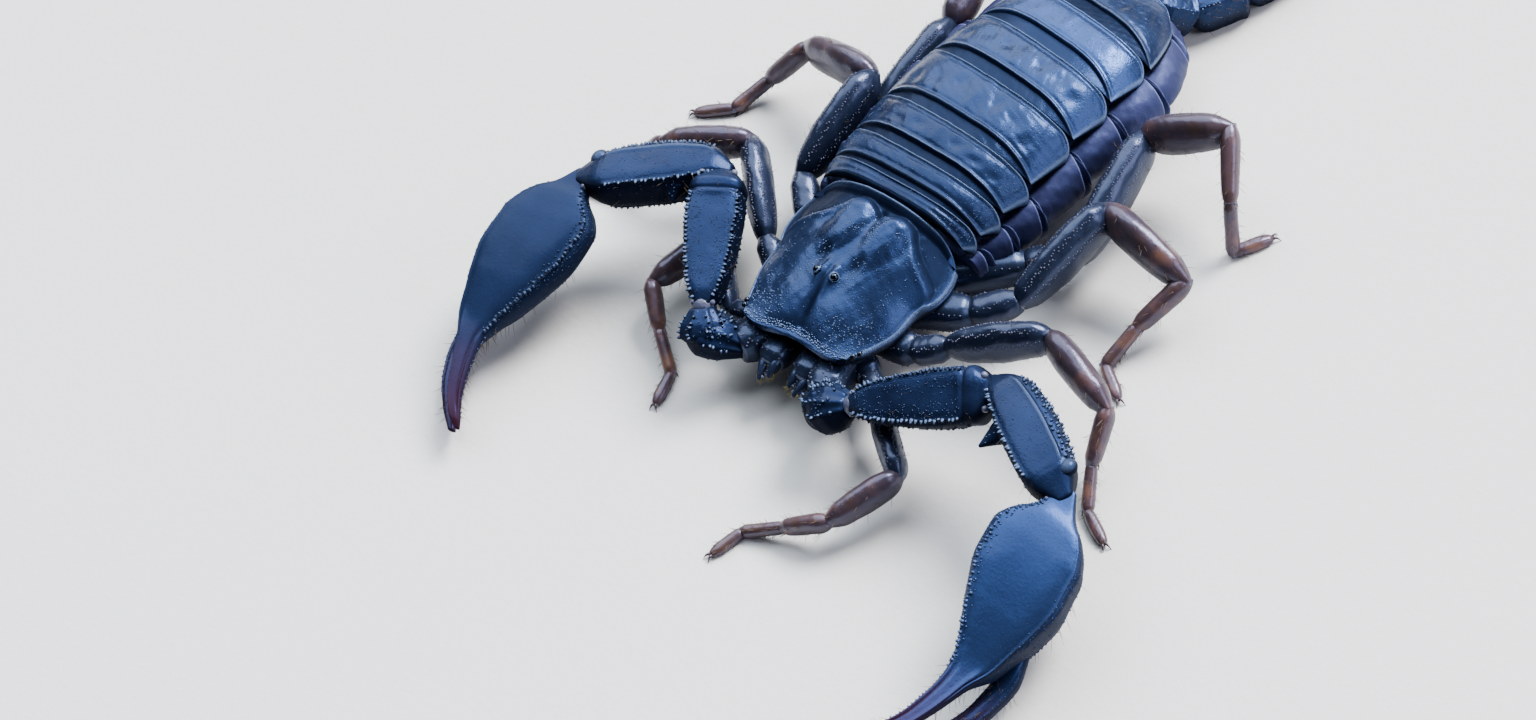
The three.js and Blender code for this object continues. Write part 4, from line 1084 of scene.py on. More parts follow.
def makeComb(side, word):
    look = underLook
    shape = Shape()
    bar = Limb(lean(side * 0.4, 7.6, 0.58), lean(side * 2.75, 8.35, 0.58), side, even(look["combBar"]), 2.4)
    bar.surface(shape, 24, 20)
    for i in range(look["combTeeth"]):
        at = bar.start + bar.way * bar.length * (0.08 + 0.14 * i)
        tooth = Limb(at, at + np.array([-side * 0.16, 0.6, -0.02]), side, even(look["combTooth"]), 2.2)
        tooth.surface(shape, 14, 14)
    shape.build(f"comb_{word}", finishes["comb"], [f"pectine_{word}"], "comb")


jawLook = {
    "body": [[-0.05, 0.42, 0.37], [0.15, 0.59, 0.52], [0.6, 0.64, 0.58], [0.88, 0.6, 0.53],
             [1.03, 0.34, 0.32]],
    "finger": [[-0.1, 0.9, 1], [0.3, 0.9, 1], [0.75, 0.55, 0.7], [1.0, 0.24, 0.3]],
    # start and end of each finger, its half size and the side its teeth are on
    "fingers": [[[1.05, -0.5, 1.9], [0.82, -1.5, 1.7], 0.26, math.pi],
                [[0.5, -0.5, 2.0], [0.48, -1.3, 1.8], 0.25, 0.0]],
    "teeth": [0.35, 0.55, 0.72, 0.86], "bristles": [60, 50],
}


def jawLine(side, finger):
    return [lean(*mirrored(point, side)) for point in finger[:2]]


def makeJaw(side, word):
    look = jawLook
    shape = Shape()
    body = Limb(lean(side * 0.72, 1.0, 1.7), lean(side * 0.8, -0.75, 1.95), side, even(look["body"]), 2.5)
    body.surface(shape, 48, 44)
    for line in look["fingers"]:
        finger = Limb(*jawLine(side, line), side, scaled(even(look["finger"]), line[2]), 2.1)
        finger.surface(shape, 30, 22)
        finger.row(shape, look["teeth"], line[3], 0.07, 0.02, 0.9)
    for angle in (0.9, 1.4, 1.9, 2.4):
        body.row(shape, np.arange(0.15, 0.95, 0.06), angle, 0.028, 0.15)
    shape.build(f"jaw_{word}", finishes["jaw"], [f"chelicera_{word}"], "shell")


makeUnderside()
for make in (makeComb, makeJaw):
    for side, word in bothSides:
        make(side, word)
print("trunk skin, underside, jaws and combs made")


legLookSizes = {
    "trochanter": [[-0.08, 0.34, 0.36], [0.2, 0.57, 0.61], [0.72, 0.54, 0.59], [0.97, 0.38, 0.46]],
    "femur": [[0.0, 0.34, 0.46], [0.08, 0.47, 0.68], [0.25, 0.58, 0.87], [0.5, 0.63, 0.97],
              [0.86, 0.59, 0.87], [0.97, 0.42, 0.6], [1.03, 0.24, 0.32]],
    "patella": [[-0.02, 0.28, 0.36], [0.05, 0.44, 0.6], [0.14, 0.55, 0.75], [0.38, 0.61, 0.85],
                [0.8, 0.54, 0.72], [0.95, 0.36, 0.46], [1.02, 0.22, 0.3]],
    "lower": [[[-0.05, 0.2, 0.26], [0.06, 0.31, 0.38], [0.18, 0.35, 0.43], [0.85, 0.31, 0.37],
               [1.0, 0.22, 0.26]],
              [[-0.04, 0.17, 0.2], [0.1, 0.24, 0.27], [0.5, 0.25, 0.27], [0.88, 0.26, 0.28],
               [1.0, 0.19, 0.22]],
              [[-0.04, 0.17, 0.18], [0.15, 0.23, 0.25], [0.7, 0.25, 0.23], [1.0, 0.17, 0.15],
               [1.06, 0.1, 0.09]]],
    "stations": [48, 36, 36],
    "claw": 0.341, "clawThick": 0.062,
    "joints": [0.3, 0.27, 0.24, 0.19, 0.165],
    "hinge": 0.085,         # the small knobs either side of a joint
    "ankle": 0.2, "toe": 0.13,   # heights of the last two joints above the floor
    # hairs: which lower segment, count, share along, angles, length and slope
    "footHairs": [[0, 30, (0.05, 0.98), (0, turn), 0.34], [1, 34, (0.05, 0.98), (0, turn), 0.3],
                  [2, 30, (0.05, 0.98), (0, turn), 0.26],
                  [1, 24, (0.1, 0.98), (math.pi * 1.15, math.pi * 1.85), 0.2, 0.5],
                  [2, 22, (0.1, 0.98), (math.pi * 1.15, math.pi * 1.85), 0.16, 0.5]],
    # rows of grains: first share, last share, gap, angle, size, jitter, point and paint
    "thighRows": [[0.08, 0.94, 0.1, angle, size, 0.05] for angle, size in
                  ((1.15, 0.036), (1.98, 0.036), (0.35, 0.028), (2.75, 0.028), (4.25, 0.032), (5.1, 0.032))],
    "kneeRows": [[0.1, 0.92, 0.13, angle, size, 0.08, 0.3, 0.5] for angle, size in
                 ((1.3, 0.02), (4.3, 0.026), (5.0, 0.026))],
}


def claws(shape, start, way, up, length, r):
    # two curved claws and the short pad between them
    apart, spread, arch, hook = 0.05, 0.34, 0.12 * length / 0.55, 0.16
    out = unit(np.cross([0, 0, 1.0], way))
    t = np.linspace(0, 1, 12)
    for k in (-1, 1):
        centre = (start + out * k * apart + np.outer(t, way * length * 0.85)
                  + np.outer(t**1.3, out * k * length * spread)
                  + np.outer(np.sin(t * math.pi) * arch - t**2 * hook, up))
        hose(shape, centre, r * (1 - 0.88 * t**1.4), 10)
    t = np.linspace(0, 1, 8)
    hose(shape, start + np.outer(t, way * length * 0.3 - up * 0.03), r * 0.8 * (1 - 0.75 * t), 8)


def spurs(shape, part, length=0.3, thick=0.04):
    # a pair of short spurs at the far end of a leg segment
    share = 0.98
    t = np.linspace(0, 1, 7)
    for angle in (-0.5, math.pi + 0.5):
        way = unit(part.way + 0.35 * part.normal(share, angle) - [0, 0, 0.12])
        hose(shape, part.at(share, angle) - way * 0.06 + np.outer(t, way * length), thick * (1 - 0.8 * t), 8)


def makeLeg(side, word, k):
    look = legLookSizes
    girth = legShape["build"][k]
    footGirth = max(girth, 1)
    knots = [mirrored(legShape["roots"][word][k], side)]
    for (heading, pitch), length in zip(legShape["pose"][word][k], legShape["lengths"][k]):
        knots.append(knots[-1] + aim(side, heading, pitch) * length)
    knots[4][2], knots[5][2] = look["ankle"] * footGirth, look["toe"] * footGirth
    name = f"leg_{word}_{k + 1}"
    seed = k + (5 if side < 0 else 0)

    shape = Shape()
    coxaEnd = mirrored(legShape["coxaEnds"][k], side)
    ball = Limb(coxaEnd, knots[0], side, scaled(even(look["trochanter"]), girth), 2.3)
    thigh = Limb(knots[0], knots[1], side, scaled(even(look["femur"]), girth), 2.35, ridge=2.0, keel=2.0)
    ball.relief, thigh.relief = uneven(0.04, seed), uneven(0.045, seed + 1)
    ball.surface(shape, 34, 36)
    thigh.surface(shape, 80, 48)
    for angle in (1.0, 2.1):
        ball.row(shape, np.arange(0.15, 0.9, 0.07), angle, 0.032, 0.08)
    dress(shape, thigh, look["thighRows"], [[150, (0.08, 0.92), (0, turn), 1.0, 0.7, 0.0, (0.01, 0.022)]],
          [[26, (0.1, 0.95), (0, turn), 0.32]])
    shape.build(f"{name}_thigh", finishes["femur"], [f"{name}_femur"], "leg_horn")

    shape = Shape()
    shin = Limb(knots[1], knots[2], side, scaled(even(look["patella"]), girth), 2.25, ridge=2.0, keel=2.0)
    shin.relief = uneven(0.035, seed + 3)
    shin.surface(shape, 70, 48)
    dress(shape, shin, look["kneeRows"], [], [[34, (0.08, 0.95), (0, turn), 0.36]])
    shape.build(f"{name}_knee", finishes["patella"], [f"{name}_patella"], "leg_horn")

    shape = Shape()
    parts = []
    for i, (rows, stations) in enumerate(zip(look["lower"], look["stations"]), 2):
        part = Limb(knots[i], knots[i + 1], side, scaled(even(rows), footGirth), 2.2)
        part.relief = uneven(0.03, seed + i)
        part.surface(shape, stations, 36, floor=True)
        parts.append(part)
    shank, instep, last = parts
    tip = last.start + last.way * last.length * 1.04
    claws(shape, tip, unit(last.way * [1, 1, 0.3]), last.lift, look["claw"] * footGirth, look["clawThick"])
    spurs(shape, instep)
    spurs(shape, shank)
    shape.build(f"{name}_foot", finishes["foot"], [f"{name}_tarsus"], "leg_horn")
    for i, *row in look["footHairs"]:
        keepRoots(parts[i], *row)

    shape = Shape()
    for i, size in enumerate(look["joints"]):
        partGirth = girth if i < 3 else footGirth
        radius = size * partGirth
        way = unit(knots[i + 1] - (knots[i - 1] if i else coxaEnd))
        lift = unit(np.array([0, 0, 1.0]) - way * way[2])
        out = unit(np.cross(way, lift))
        knob(shape, knots[i], radius, 12, 18)
        for s in (1, -1):
            spot = knots[i] + out * s * radius * 0.82 + lift * 0.05
            knob(shape, spot, look["hinge"] * partGirth, 10, 14, worn=1.0)
    shape.build(f"{name}_joints", finishes["joint"], (), "membrane")


for side, word in bothSides:
    for k in range(4):
        makeLeg(side, word, k)
print("legs made")


armLook = {
    "coxa": [[-0.1, 0.5, 0.5], [0.3, 0.76, 0.76], [0.8, 0.74, 0.74], [1.08, 0.5, 0.5]],
    "innerRing": [[-0.1, 0.46, 0.46], [0.15, 0.62, 0.62], [0.6, 0.84, 0.84], [1.0, 0.88, 0.88],
                  [1.35, 0.62, 0.62], [1.5, 0.35, 0.35]],
    "outerRing": [[-0.35, 0.55, 0.55], [0.0, 0.9, 0.9], [0.35, 0.85, 0.85], [0.6, 0.68, 0.68],
                  [0.82, 0.5, 0.5]],
    "femur": [[-0.03, 0.3, 0.3, 0.34, 0.36, 0, 0], [0.03, 0.48, 0.46, 0.48, 0.54, 0, 0],
              [0.08, 0.62, 0.6, 0.58, 0.66, 0, 0], [0.2, 0.82, 0.8, 0.7, 0.8, 0, 0],
              [0.42, 1.0, 1.0, 0.78, 0.92, 0, 0], [0.66, 1.1, 1.14, 0.82, 1.0, 0, 0],
              [0.85, 1.08, 1.12, 0.82, 0.97, 0, 0], [0.94, 0.98, 1.0, 0.76, 0.88, 0, 0],
              [1.0, 0.78, 0.78, 0.62, 0.73, 0, 0], [1.06, 0.34, 0.34, 0.3, 0.3, 0, 0]],
    "patella": [[-0.07, 0.34, 0.28, 0.36, 0.46, 0.3, 0], [0.0, 0.72, 0.46, 0.56, 0.68, 0.36, 0],
                [0.06, 0.92, 0.56, 0.68, 0.8, 0.38, 0], [0.18, 1.14, 0.74, 0.77, 0.92, 0.33, 0],
                [0.45, 1.26, 0.93, 0.84, 1.06, 0.2, 0], [0.7, 1.2, 0.95, 0.82, 1.0, 0.05, 0],
                [0.84, 1.04, 0.9, 0.76, 0.92, 0, 0], [0.93, 0.78, 0.72, 0.6, 0.7, 0, 0],
                [1.04, 0.36, 0.36, 0.32, 0.32, 0, 0]],
    "spur": [[-0.3, 0.45, 0.42], [0.1, 0.46, 0.42], [0.45, 0.32, 0.28], [0.8, 0.15, 0.14],
             [1.0, 0.06, 0.06]],
    "spurLength": {"left": 1.02, "right": 0.62},
    # hand and finger: share along, then outer edge, inner edge, top and bottom
    "hand": [[-0.02, 0.46, -0.32, 0.2, -0.4], [0.045, 1.05, -0.4, 0.32, -0.8],
             [0.09, 1.75, -0.66, 0.48, -1.4], [0.135, 2.2, -1.12, 0.54, -1.75],
             [0.2, 2.6, -1.38, 0.58, -2.05], [0.31, 2.85, -1.15, 0.54, -2.32], [0.42, 2.8, -0.56, 0.42, -2.3],
             [0.52, 2.58, 0.1, 0.26, -2.08], [0.61, 2.36, 0.68, 0.1, -1.5],
             [0.7, 1.95, 0.96, 0.02, -0.84], [0.85, 1.5, 0.8, -0.06, -0.74],
             [0.97, 0.8, 0.3, -0.14, -0.62], [1.0, 0.44, 0.16, -0.24, -0.5]],
    "finger": [[0.48, 2.3, 1.6, -1.2, -1.9], [0.59, 2.62, 1.72, -1.2, -2.2],
               [0.7, 2.55, 1.7, -1.12, -1.95], [0.82, 2.15, 1.4, -0.98, -1.65],
               [0.93, 1.4, 0.78, -0.86, -1.35], [1.0, 0.66, 0.3, -0.76, -1.05]],
    "rolls": {"left": [-27, -8, 4], "right": [4, 0, 0]},
    "knobs": [0.42, 0.5, 0.36],
}

ribAngles = (0.5, 1.2, 1.9, 2.6)

# Edges of the arm pieces: angle, height, width, first share and last share.
armEdges = {
    "ring": [[a, 0.09, 0.16, -0.3, 1.2] for a in ribAngles],
    "femur": [[a, 0.06, 0.12, 0.02, 0.86] for a in (outerEdge, innerEdge, innerLow, outerLow)],
    "patella": [[1.1, 0.1, 0.07, 0.04, 0.86], [0.86, -0.05, 0.12, 0.04, 0.86],
                [innerEdge, 0.06, 0.12, 0.02, 0.86], [innerLow, 0.05, 0.12, 0.05, 0.86],
                [outerLow, 0.06, 0.12, 0.05, 0.86], [0.2, 0.05, 0.08, 0.05, 0.88]],
    "hand": [[outerEdge, 0.06, 0.07, 0.06, 0.8], [innerEdge, 0.07, 0.08, 0.1, 0.66],
             [1.25, 0.07, 0.2, 0.58, 0.99], [1.95, -0.07, 0.22, 0.6, 0.99], [-0.55, 0.07, 0.1, 0.1, 0.6]],
    "finger": [[outerEdge, 0.05, 0.12, 0.5, 0.95], [innerEdge, 0.04, 0.12, 0.5, 0.95]],
}

# Edges painted paler, partly wear and partly a painted highlight along the keels: angle, width and last
# share.
armPaint = {
    "femur": [[outerEdge, 0.06, 0.85], [innerEdge, 0.06, 0.85]],
    "patella": [[1.1, 0.06, 0.86], [innerEdge, 0.06, 0.84]],
    "hand": [[outerEdge, 0.05, 0.66], [innerEdge, 0.05, 0.66]],
}

# Rows of grains: first share, last share, gap, angle, size, jitter and point.
armRows = {
    "femur": [row for angle, size, gap, beside in (
        (outerEdge, 0.095, 0.18, -0.22), (innerEdge, 0.098, 0.185, 0.22), (innerLow, 0.085, 0.2, 0.22),
        (outerLow, 0.085, 0.19, -0.22), (math.pi, 0.06, 0.22, 0.22)) for row in (
        [0.03, 0.85, gap, angle, size, 0.0, 0.8],
        [0.06, 0.84, gap * 1.5, angle + beside, size * 0.5, 0.08, 0.4])],
    "patella": [[0.03, 0.82, 0.18, innerEdge, 0.092, 0.0, 0.8],
                [0.05, 0.84, 0.21, innerLow, 0.065, 0.03, 0.6],
                [0.05, 0.88, 0.2, outerLow, 0.065, 0.03, 0.6], [0.06, 0.86, 0.19, 0.02, 0.085, 0.02, 0.6],
                [0.08, 0.86, 0.19, 0.36, 0.08, 0.05, 0.4], [0.1, 0.84, 0.2, 0.68, 0.075, 0.06, 0.4]],
    "hand": [[0.05, 0.66, 0.16, innerEdge, 0.082, 0.02, 0.6],
             [0.07, 0.64, 0.12, innerEdge - 0.12, 0.045, 0.05, 0.3, 0.7],
             [0.07, 0.62, 0.11, innerEdge + 0.2, 0.036, 0.06, 0.4],
             [0.62, 0.96, 0.17, math.pi * 0.98, 0.05, 0.02, 0.5],
             [0.12, 0.6, 0.19, outerEdge, 0.026, 0.05, 0.2], [0.1, 0.6, 0.2, -0.55, 0.04, 0.03, 0.4]],
    "finger": [[0.58, 0.97, 0.17, math.pi, 0.05, 0.03, 0.5], [0.52, 0.9, 0.2, outerEdge, 0.035, 0.04, 0.3]],
}

# Loose grains: count, shares along, angles, size and paint.
armGrains = {
    "femur": [[260, (0.05, 0.85), (0.85, 2.3), 0.027, 0.55], [240, (0.05, 0.88), (2.5, turn + 0.6), 0.034]],
    "patella": [[110, (0.06, 0.85), (1.15, 2.3), 0.022, 0.5], [240, (0.05, 0.88), (2.5, turn + 0.5), 0.036]],
    "hand": [[200, (0.05, 0.62), (2.2, math.pi * 1.2), 0.026], [320, (0.05, 0.7), (0.85, 2.2), 0.014, 0.4],
             [260, (0.05, 0.62), (-1.6, 0.6), 0.03, 0.5]],
    "finger": [[160, (0.5, 0.9), (0, turn), 0.02]],
}

# Hairs: count, shares along, angles and length.
armHairs = {
    "femur": [[26, (0.1, 0.95), (0, turn), 0.4]],
    "patella": [[30, (0.1, 0.95), (0, turn), 0.4]],
    "hand": [[50, (0.1, 0.6), (-2.7, -0.2), 0.5], [70, (0.6, 0.97), (math.pi * 0.9, turn), 0.45]],
    "finger": [[90, (0.55, 0.98), (0, turn), 0.42]],
}


def fromEdges(rows, level):
    # level is where the widest line lies between bottom 0 and top 1
    sizes = []
    for share, outer, inner, top, bottom in rows:
        half, deep, middle = (outer - inner) / 2, top - bottom, (outer + inner) / 2
        sizes.append([share, half, half, deep * level, deep * (1 - level), middle, top - deep * level])
    return sizes


def turned(angle):
    return (angle + math.pi) % turn - math.pi


def keeled(lines, seed, face=0.0, size=0.02, cuff=0.0):
    # raised edges; face sinks the flat upper side a little and cuff raises a smooth collar
    # at the far end
    unevenness = uneven(size, seed)

    def relief(share, angle, x, z):
        x, z = unevenness(share, angle, x, z)
        radius = np.sqrt(x * x + z * z) + 1e-9
        push = 0
        for place, height, width, low, high in lines:
            along = step(share, low, low + 0.08) * (1 - step(share, high - 0.08, high))
            push = push + height * bump(turned(angle - place), 0, width) * along
        x, z = x * (1 + push / radius), z * (1 + push / radius)
        flat = step(share, 0.05, 0.2) * (1 - step(share, 0.78, 0.86))
        z = z - face * bump(np.cos(angle), 0, 0.45) * (z > 0) * flat
        ring = 1 + cuff * (bump(share, 0.93, 0.035) - 1.1 * bump(share, 0.855, 0.016))
        return x * ring, z * ring
    return relief


# keels painted paler: partly wear, partly a painted highlight
def paintedEdges(lines, strength):
    def worn(share, angle):
        return strength * sum(bump(turned(angle), place, width) * step(share, 0.02, 0.1)
                              * (1 - step(share, high - 0.05, high)) for place, width, high in lines)
    return worn


def makeArmBase(side, word, seed, root):
    look, name = armLook, f"arm_{word}"
    coxaEnd, ball = np.array(armShape["coxa"][word]), np.array(armShape["trochanter"][word])
    shape = Shape()
    start = coxaEnd + (lean(side * 1.55, 1.1, 1.6) - coxaEnd) * 0.55
    coxa = Limb(start, coxaEnd, side, even(look["coxa"]), 2.2)
    coxa.surface(shape, 30, 36)
    scatterOn(shape, coxa, 50, (0.1, 1.0), (0, math.pi), 0.045)
    shape.build(f"{name}_coxa", finishes["arm"], [f"pedipalp_{word}_coxa"], "shell")

    shape = Shape()
    inner = Limb(coxaEnd, ball, side, even(look["innerRing"]), 2.2)
    outer = Limb(ball, root, side, even(look["outerRing"]), 2.2)
    inner.relief, outer.relief = keeled(armEdges["ring"], seed), keeled(armEdges["ring"], seed + 1)
    inner.surface(shape, 36, 44)
    outer.surface(shape, 36, 44)
    for limb, shares in ((inner, np.arange(0.3, 1.05, 0.16)), (outer, np.arange(-0.05, 0.68, 0.17))):
        for angle in ribAngles:
            limb.row(shape, shares, angle, 0.085, 0.04, 0.7)
        scatterOn(shape, limb, 60, (shares[0], shares[-1]), (0, turn), 0.035)
    shape.build(f"{name}_trochanter", finishes["arm"], [f"pedipalp_{word}_trochanter"], "shell")


def dressArm(shape, limb, part):
    dress(shape, limb, armRows[part], armGrains[part], armHairs[part])


def makeArm(side, word):
    pose, look, name = armShape[word], armLook, f"arm_{word}"
    pedipalp = f"pedipalp_{word}"
    knots = [np.array(pose["root"])]
    for (heading, pitch), length in zip(pose["turn"], armShape["lengths"]):
        knots.append(knots[-1] + aim(side, heading, pitch) * length)
    seed = 3 if side > 0 else 8
    rolls = look["rolls"][word]
    makeArmBase(side, word, seed, knots[0])

    shape = Shape()
    femur = Limb(knots[0], knots[1], side, look["femur"], 3.2, roll=rolls[0])
    femur.relief = keeled(armEdges["femur"], seed, 0.07, cuff=0.07)
    femur.surface(shape, 130, 96, worn=paintedEdges(armPaint["femur"], 0.4))
    dressArm(shape, femur, "femur")
    shape.build(f"{name}_femur", finishes["arm"], [f"{pedipalp}_femur"], "shell")

    shape = Shape()
    patella = Limb(knots[1], knots[2], side, look["patella"], 3.2, roll=rolls[1])
    patella.relief = keeled(armEdges["patella"], seed + 2, 0.03, cuff=0.015)
    knob(shape, patella.at(0.9, 0.85) - patella.lift * 0.16, 0.34, 14, 20, (1, 1.15, 0.9), 0.3)
    patella.surface(shape, 130, 96, worn=paintedEdges(armPaint["patella"], 0.5))
    inward = -side * unit(np.cross([0, 0, 1.0], patella.way))
    base = knots[1] + patella.way * 1.75 + inward * 0.4
    spur = Limb(base, base + inward * look["spurLength"][word] - [0, 0, 0.12], side, even(look["spur"]), 2.2)
    spur.surface(shape, 30, 30)
    spur.row(shape, np.arange(0.2, 0.8, 0.14), math.pi / 2, 0.045, 0.3)
    dressArm(shape, patella, "patella")
    shape.build(f"{name}_patella", finishes["arm"], [f"{pedipalp}_patella"], "shell")

    shape = Shape()
    hand = Limb(knots[2], knots[3], side, fromEdges(look["hand"], 0.34), 2.8, keel=5.5, ridge=3.6,
                hollow=1.35, roll=pose["roll"] + rolls[2])
    hand.relief = keeled(armEdges["hand"], seed + 3, 0.0, 0.012)
    hand.surface(shape, 230, 150, worn=paintedEdges(armPaint["hand"], 0.35))
    dressArm(shape, hand, "hand")
    shape.build(f"{name}_hand", finishes["hand" + word.title()], [f"{pedipalp}_hand"], "shell")

    shape = Shape()
    heading, pitch = pose["turn"][2]
    end = knots[2] + aim(side, heading + pose["open"], pitch - pose["open"] * 0.25) * armShape["lengths"][2]
    finger = Limb(knots[2], end, side, fromEdges(look["finger"], 0.5), 2.4, roll=pose["roll"])
    finger.relief = keeled(armEdges["finger"], seed + 5)
    finger.surface(shape, 110, 72)
    dressArm(shape, finger, "finger")
    shape.build(f"{name}_finger", finishes["finger"], [f"{pedipalp}_finger"], "finger_horn")

    shape = Shape()
    for at, radius in zip(knots, look["knobs"]):
        knob(shape, at, radius, 16, 24)
    for limb, share, angle, radius in ((femur, 1.0, outerEdge, 0.14), (femur, 1.0, innerEdge, 0.14),
                                       (femur, 0.0, 0.3, 0.12), (femur, 0.0, 2.8, 0.12),
                                       (patella, 0.985, 2.9, 0.12)):
        knob(shape, limb.at(share, angle), radius, 10, 14, worn=1.0)
    shape.build(f"{name}_joints", finishes["joint"], (), "membrane")


for side, word in bothSides:
    makeArm(side, word)
print("arms made")


tailLook = {
    "ring": [[-0.06, 0.48, 0.48], [0.01, 0.7, 0.7], [0.07, 0.84, 0.86], [0.18, 0.93, 0.94],
             [0.4, 0.98, 0.98], [0.8, 0.97, 0.97], [0.9, 0.99, 1.0], [0.96, 0.9, 0.9], [1.0, 0.7, 0.7]],
    "edges": [[a, 0.06, 0.14, 0.02, 0.98] for a in (outerEdge, innerEdge, innerLow, outerLow)]
    + [[a, 0.03, 0.1, 0.05, 0.95] for a in (0.0, math.pi)],
    # rows of grains: first share, last share, gap, angle, size, jitter and point
    "rows": [[0.08, 0.92, 0.15, outerEdge, 0.042, 0.02, 0.7],
             [0.08, 0.92, 0.15, innerEdge, 0.042, 0.02, 0.7],
             [0.1, 0.9, 0.18, 0.0, 0.03, 0.03], [0.1, 0.9, 0.18, math.pi, 0.03, 0.03]],
    "upper": (-0.6, math.pi + 0.6), "joints": [0.6, 0.5, 0.5, 0.5, 0.5, 0.5],
    "sting": 0.276, "stingTip": 0.022, "stingPitch": [22, -42],
}


def makeTail():
    look = tailLook
    knots = [np.array(tailShape["root"])]
    for i, (length, w, h, heading, pitch) in enumerate(tailShape["rings"]):
        knots.append(knots[-1] + aim(1, heading, pitch) * length)
        shape = Shape()
        ring = Limb(knots[i], knots[i + 1], 1, even([[s, w * a, h * b] for s, a, b in look["ring"]]), 3.0)
        ring.relief = keeled(look["edges"], 20 + i, 0.06)
        ring.surface(shape, 80, 72, floor=True)
        for low, high, gap, *rest in look["rows"]:
            ring.row(shape, np.arange(low, high, gap / length), *rest)
        scatterOn(shape, ring, 90, (0.05, 0.93), look["upper"], 0.02)
        shape.build(f"tail_ring_{i + 1}", finishes["shell"], [f"metasoma_{i + 1}"], "shell")
        keepRoots(ring, 18 + 6 * i, (0.1, 0.95), look["upper"], 0.4)
    makeSting(knots[-1])
    joints = Shape()
    for knot, radius in zip(knots, look["joints"]):
        knob(joints, knot + [0, 0, 0.02], radius, 14, 22, (1, 1, 0.85))
    joints.build("tail_joints", finishes["joint"], (), "membrane")


def makeSting(start):
    t, look = tailShape["telson"], tailLook
    g, way = t["girth"], aim(1, t["heading"], t["pitch"])
    end = start + way * t["length"]
    shape = Shape()
    bulb = Limb(start, end, 1, even([
        [-0.05, 0.28, 0.28], [0.02, g * 0.5, g * 0.48], [0.1, g * 0.74, g * 0.7], [0.35, g * 0.97, g * 0.94],
        [0.65, g * 0.98, g * 0.95], [0.9, g * 0.64, g * 0.6], [1.06, 0.3, 0.3]]), 2.1)
    bulb.relief = uneven(0.03, 31)
    bulb.surface(shape, 80, 60)
    scatterOn(shape, bulb, 90, (0.05, 0.95), (0, turn), 0.022, 0.4)
    shape.build("telson_bulb", finishes["telson"], ["telson"], "telson_horn")
    keepRoots(bulb, 80, (0.1, 1.0), (0, turn), 0.45)
    shape = Shape()
    path = [end - way * 0.2]
    for pitch in np.linspace(*look["stingPitch"], t["stingSteps"]):
        path.append(path[-1] + aim(1, t["heading"], pitch) * t["sting"] / t["stingSteps"])
    share = np.linspace(0, 1, len(path))
    hose(shape, np.array(path), look["sting"] * (1 - share) ** 0.8 + look["stingTip"], 24)
    shape.build("telson_sting", finishes["sting"], (), "telson_horn")


makeTail()
print("tail made")


hairLook = {
    "places": [-0.06, 0.35, 0.72], "widths": [1.0, 0.8, 0.45], "thick": 0.011, "bristle": 0.012,
    # the spike's ten corners in its small cell of the map
    "across": [0.0, 0.0015, 0.0] * 3 + [0.0008], "up": [0] * 3 + [0.0012] * 3 + [0.0022] * 3 + [0.003],
    "quads": [[0, 1, 4, 3], [1, 2, 5, 4], [2, 0, 3, 5], [3, 4, 7, 6], [4, 5, 8, 7], [5, 3, 6, 8]],
    "tris": [[0, 2, 1], [6, 7, 9], [7, 8, 9], [8, 6, 9]],
}


def addHairs(shape, roots, way, length, thick, cell):
    # each hair is a closed three-sided spike, bent along the limb
    look = hairLook
    count = len(roots)
    outward = unit(np.cross(way, rng.normal(0, 1, (count, 3))))
    third = np.cross(way, outward)
    bend = rng.normal(0, 0.1, (count, 3)) * length[:, None]
    points = []
    for place, width in zip(look["places"], look["widths"]):
        centre = roots + way * (length * place)[:, None] + bend * max(place, 0) ** 2
        for a in np.arange(3) / 3 * turn:
            points.append(centre + (outward * math.cos(a) + third * math.sin(a)) * thick * width)
    points.append(roots + way * length[:, None] + bend)
    lift = (np.arange(count) * len(points))[:, None, None]
    shape.add(np.stack(points, 1), (np.array(look["quads"]) + lift).reshape(-1, 4),
              (np.array(look["tris"]) + lift).reshape(-1, 3))
    uv = np.stack([cell[:, :1] + look["across"], cell[:, 1:] + look["up"]], -1)
    shape.uv.append(uv.reshape(-1, 2))


def makeHairs():
    # every limb has its own square of the map
    shape = Shape()
    columns = math.ceil(math.sqrt(len(hairRoots)))
    for i, (points, normals, along, length, slope, share, angle) in enumerate(hairRoots):
        way = unit(normals * slope + along * 0.75 + rng.normal(0, 0.16, normals.shape))
        corner = np.array([i % columns, i // columns])
        inside = np.stack([np.clip(share, 0, 1.05) / 1.06, angle % turn / turn], -1)
        cell = (corner + 0.03 + 0.9 * inside) / columns
        keep = (points[:, 2] + way[:, 2] * length > 0.02) & (points[:, 2] > 0.03)
        addHairs(shape, points[keep], way[keep], length[keep], hairLook["thick"], cell[keep])
    shape.build("fine_hairs", finishes["hair"], (), "setae")


def makeBristles():
    shape = Shape()
    for side in (1, -1):
        for line, count in zip(jawLook["fingers"], jawLook["bristles"]):
            start, end = jawLine(side, line)
            t = rng.uniform(-0.2, 0.8, count)
            roots = start + np.outer(t, end - start) + rng.normal(0, 0.05, (count, 3)) + [0, 0, -0.1]
            way = unit(rng.normal(0, 0.25, (count, 3)) + [-side * 0.25, -0.8, -0.35])
            cell = np.stack([np.clip(t * 0.4 + 0.3, 0, 1), rng.uniform(0.1, 0.9, count)], -1)
            addHairs(shape, roots, way, rng.uniform(0.25, 0.5, count), hairLook["bristle"], cell)
    shape.build("jaw_bristles", finishes["bristle"], (), "setae")


makeHairs()
makeBristles()
print("hairs made")


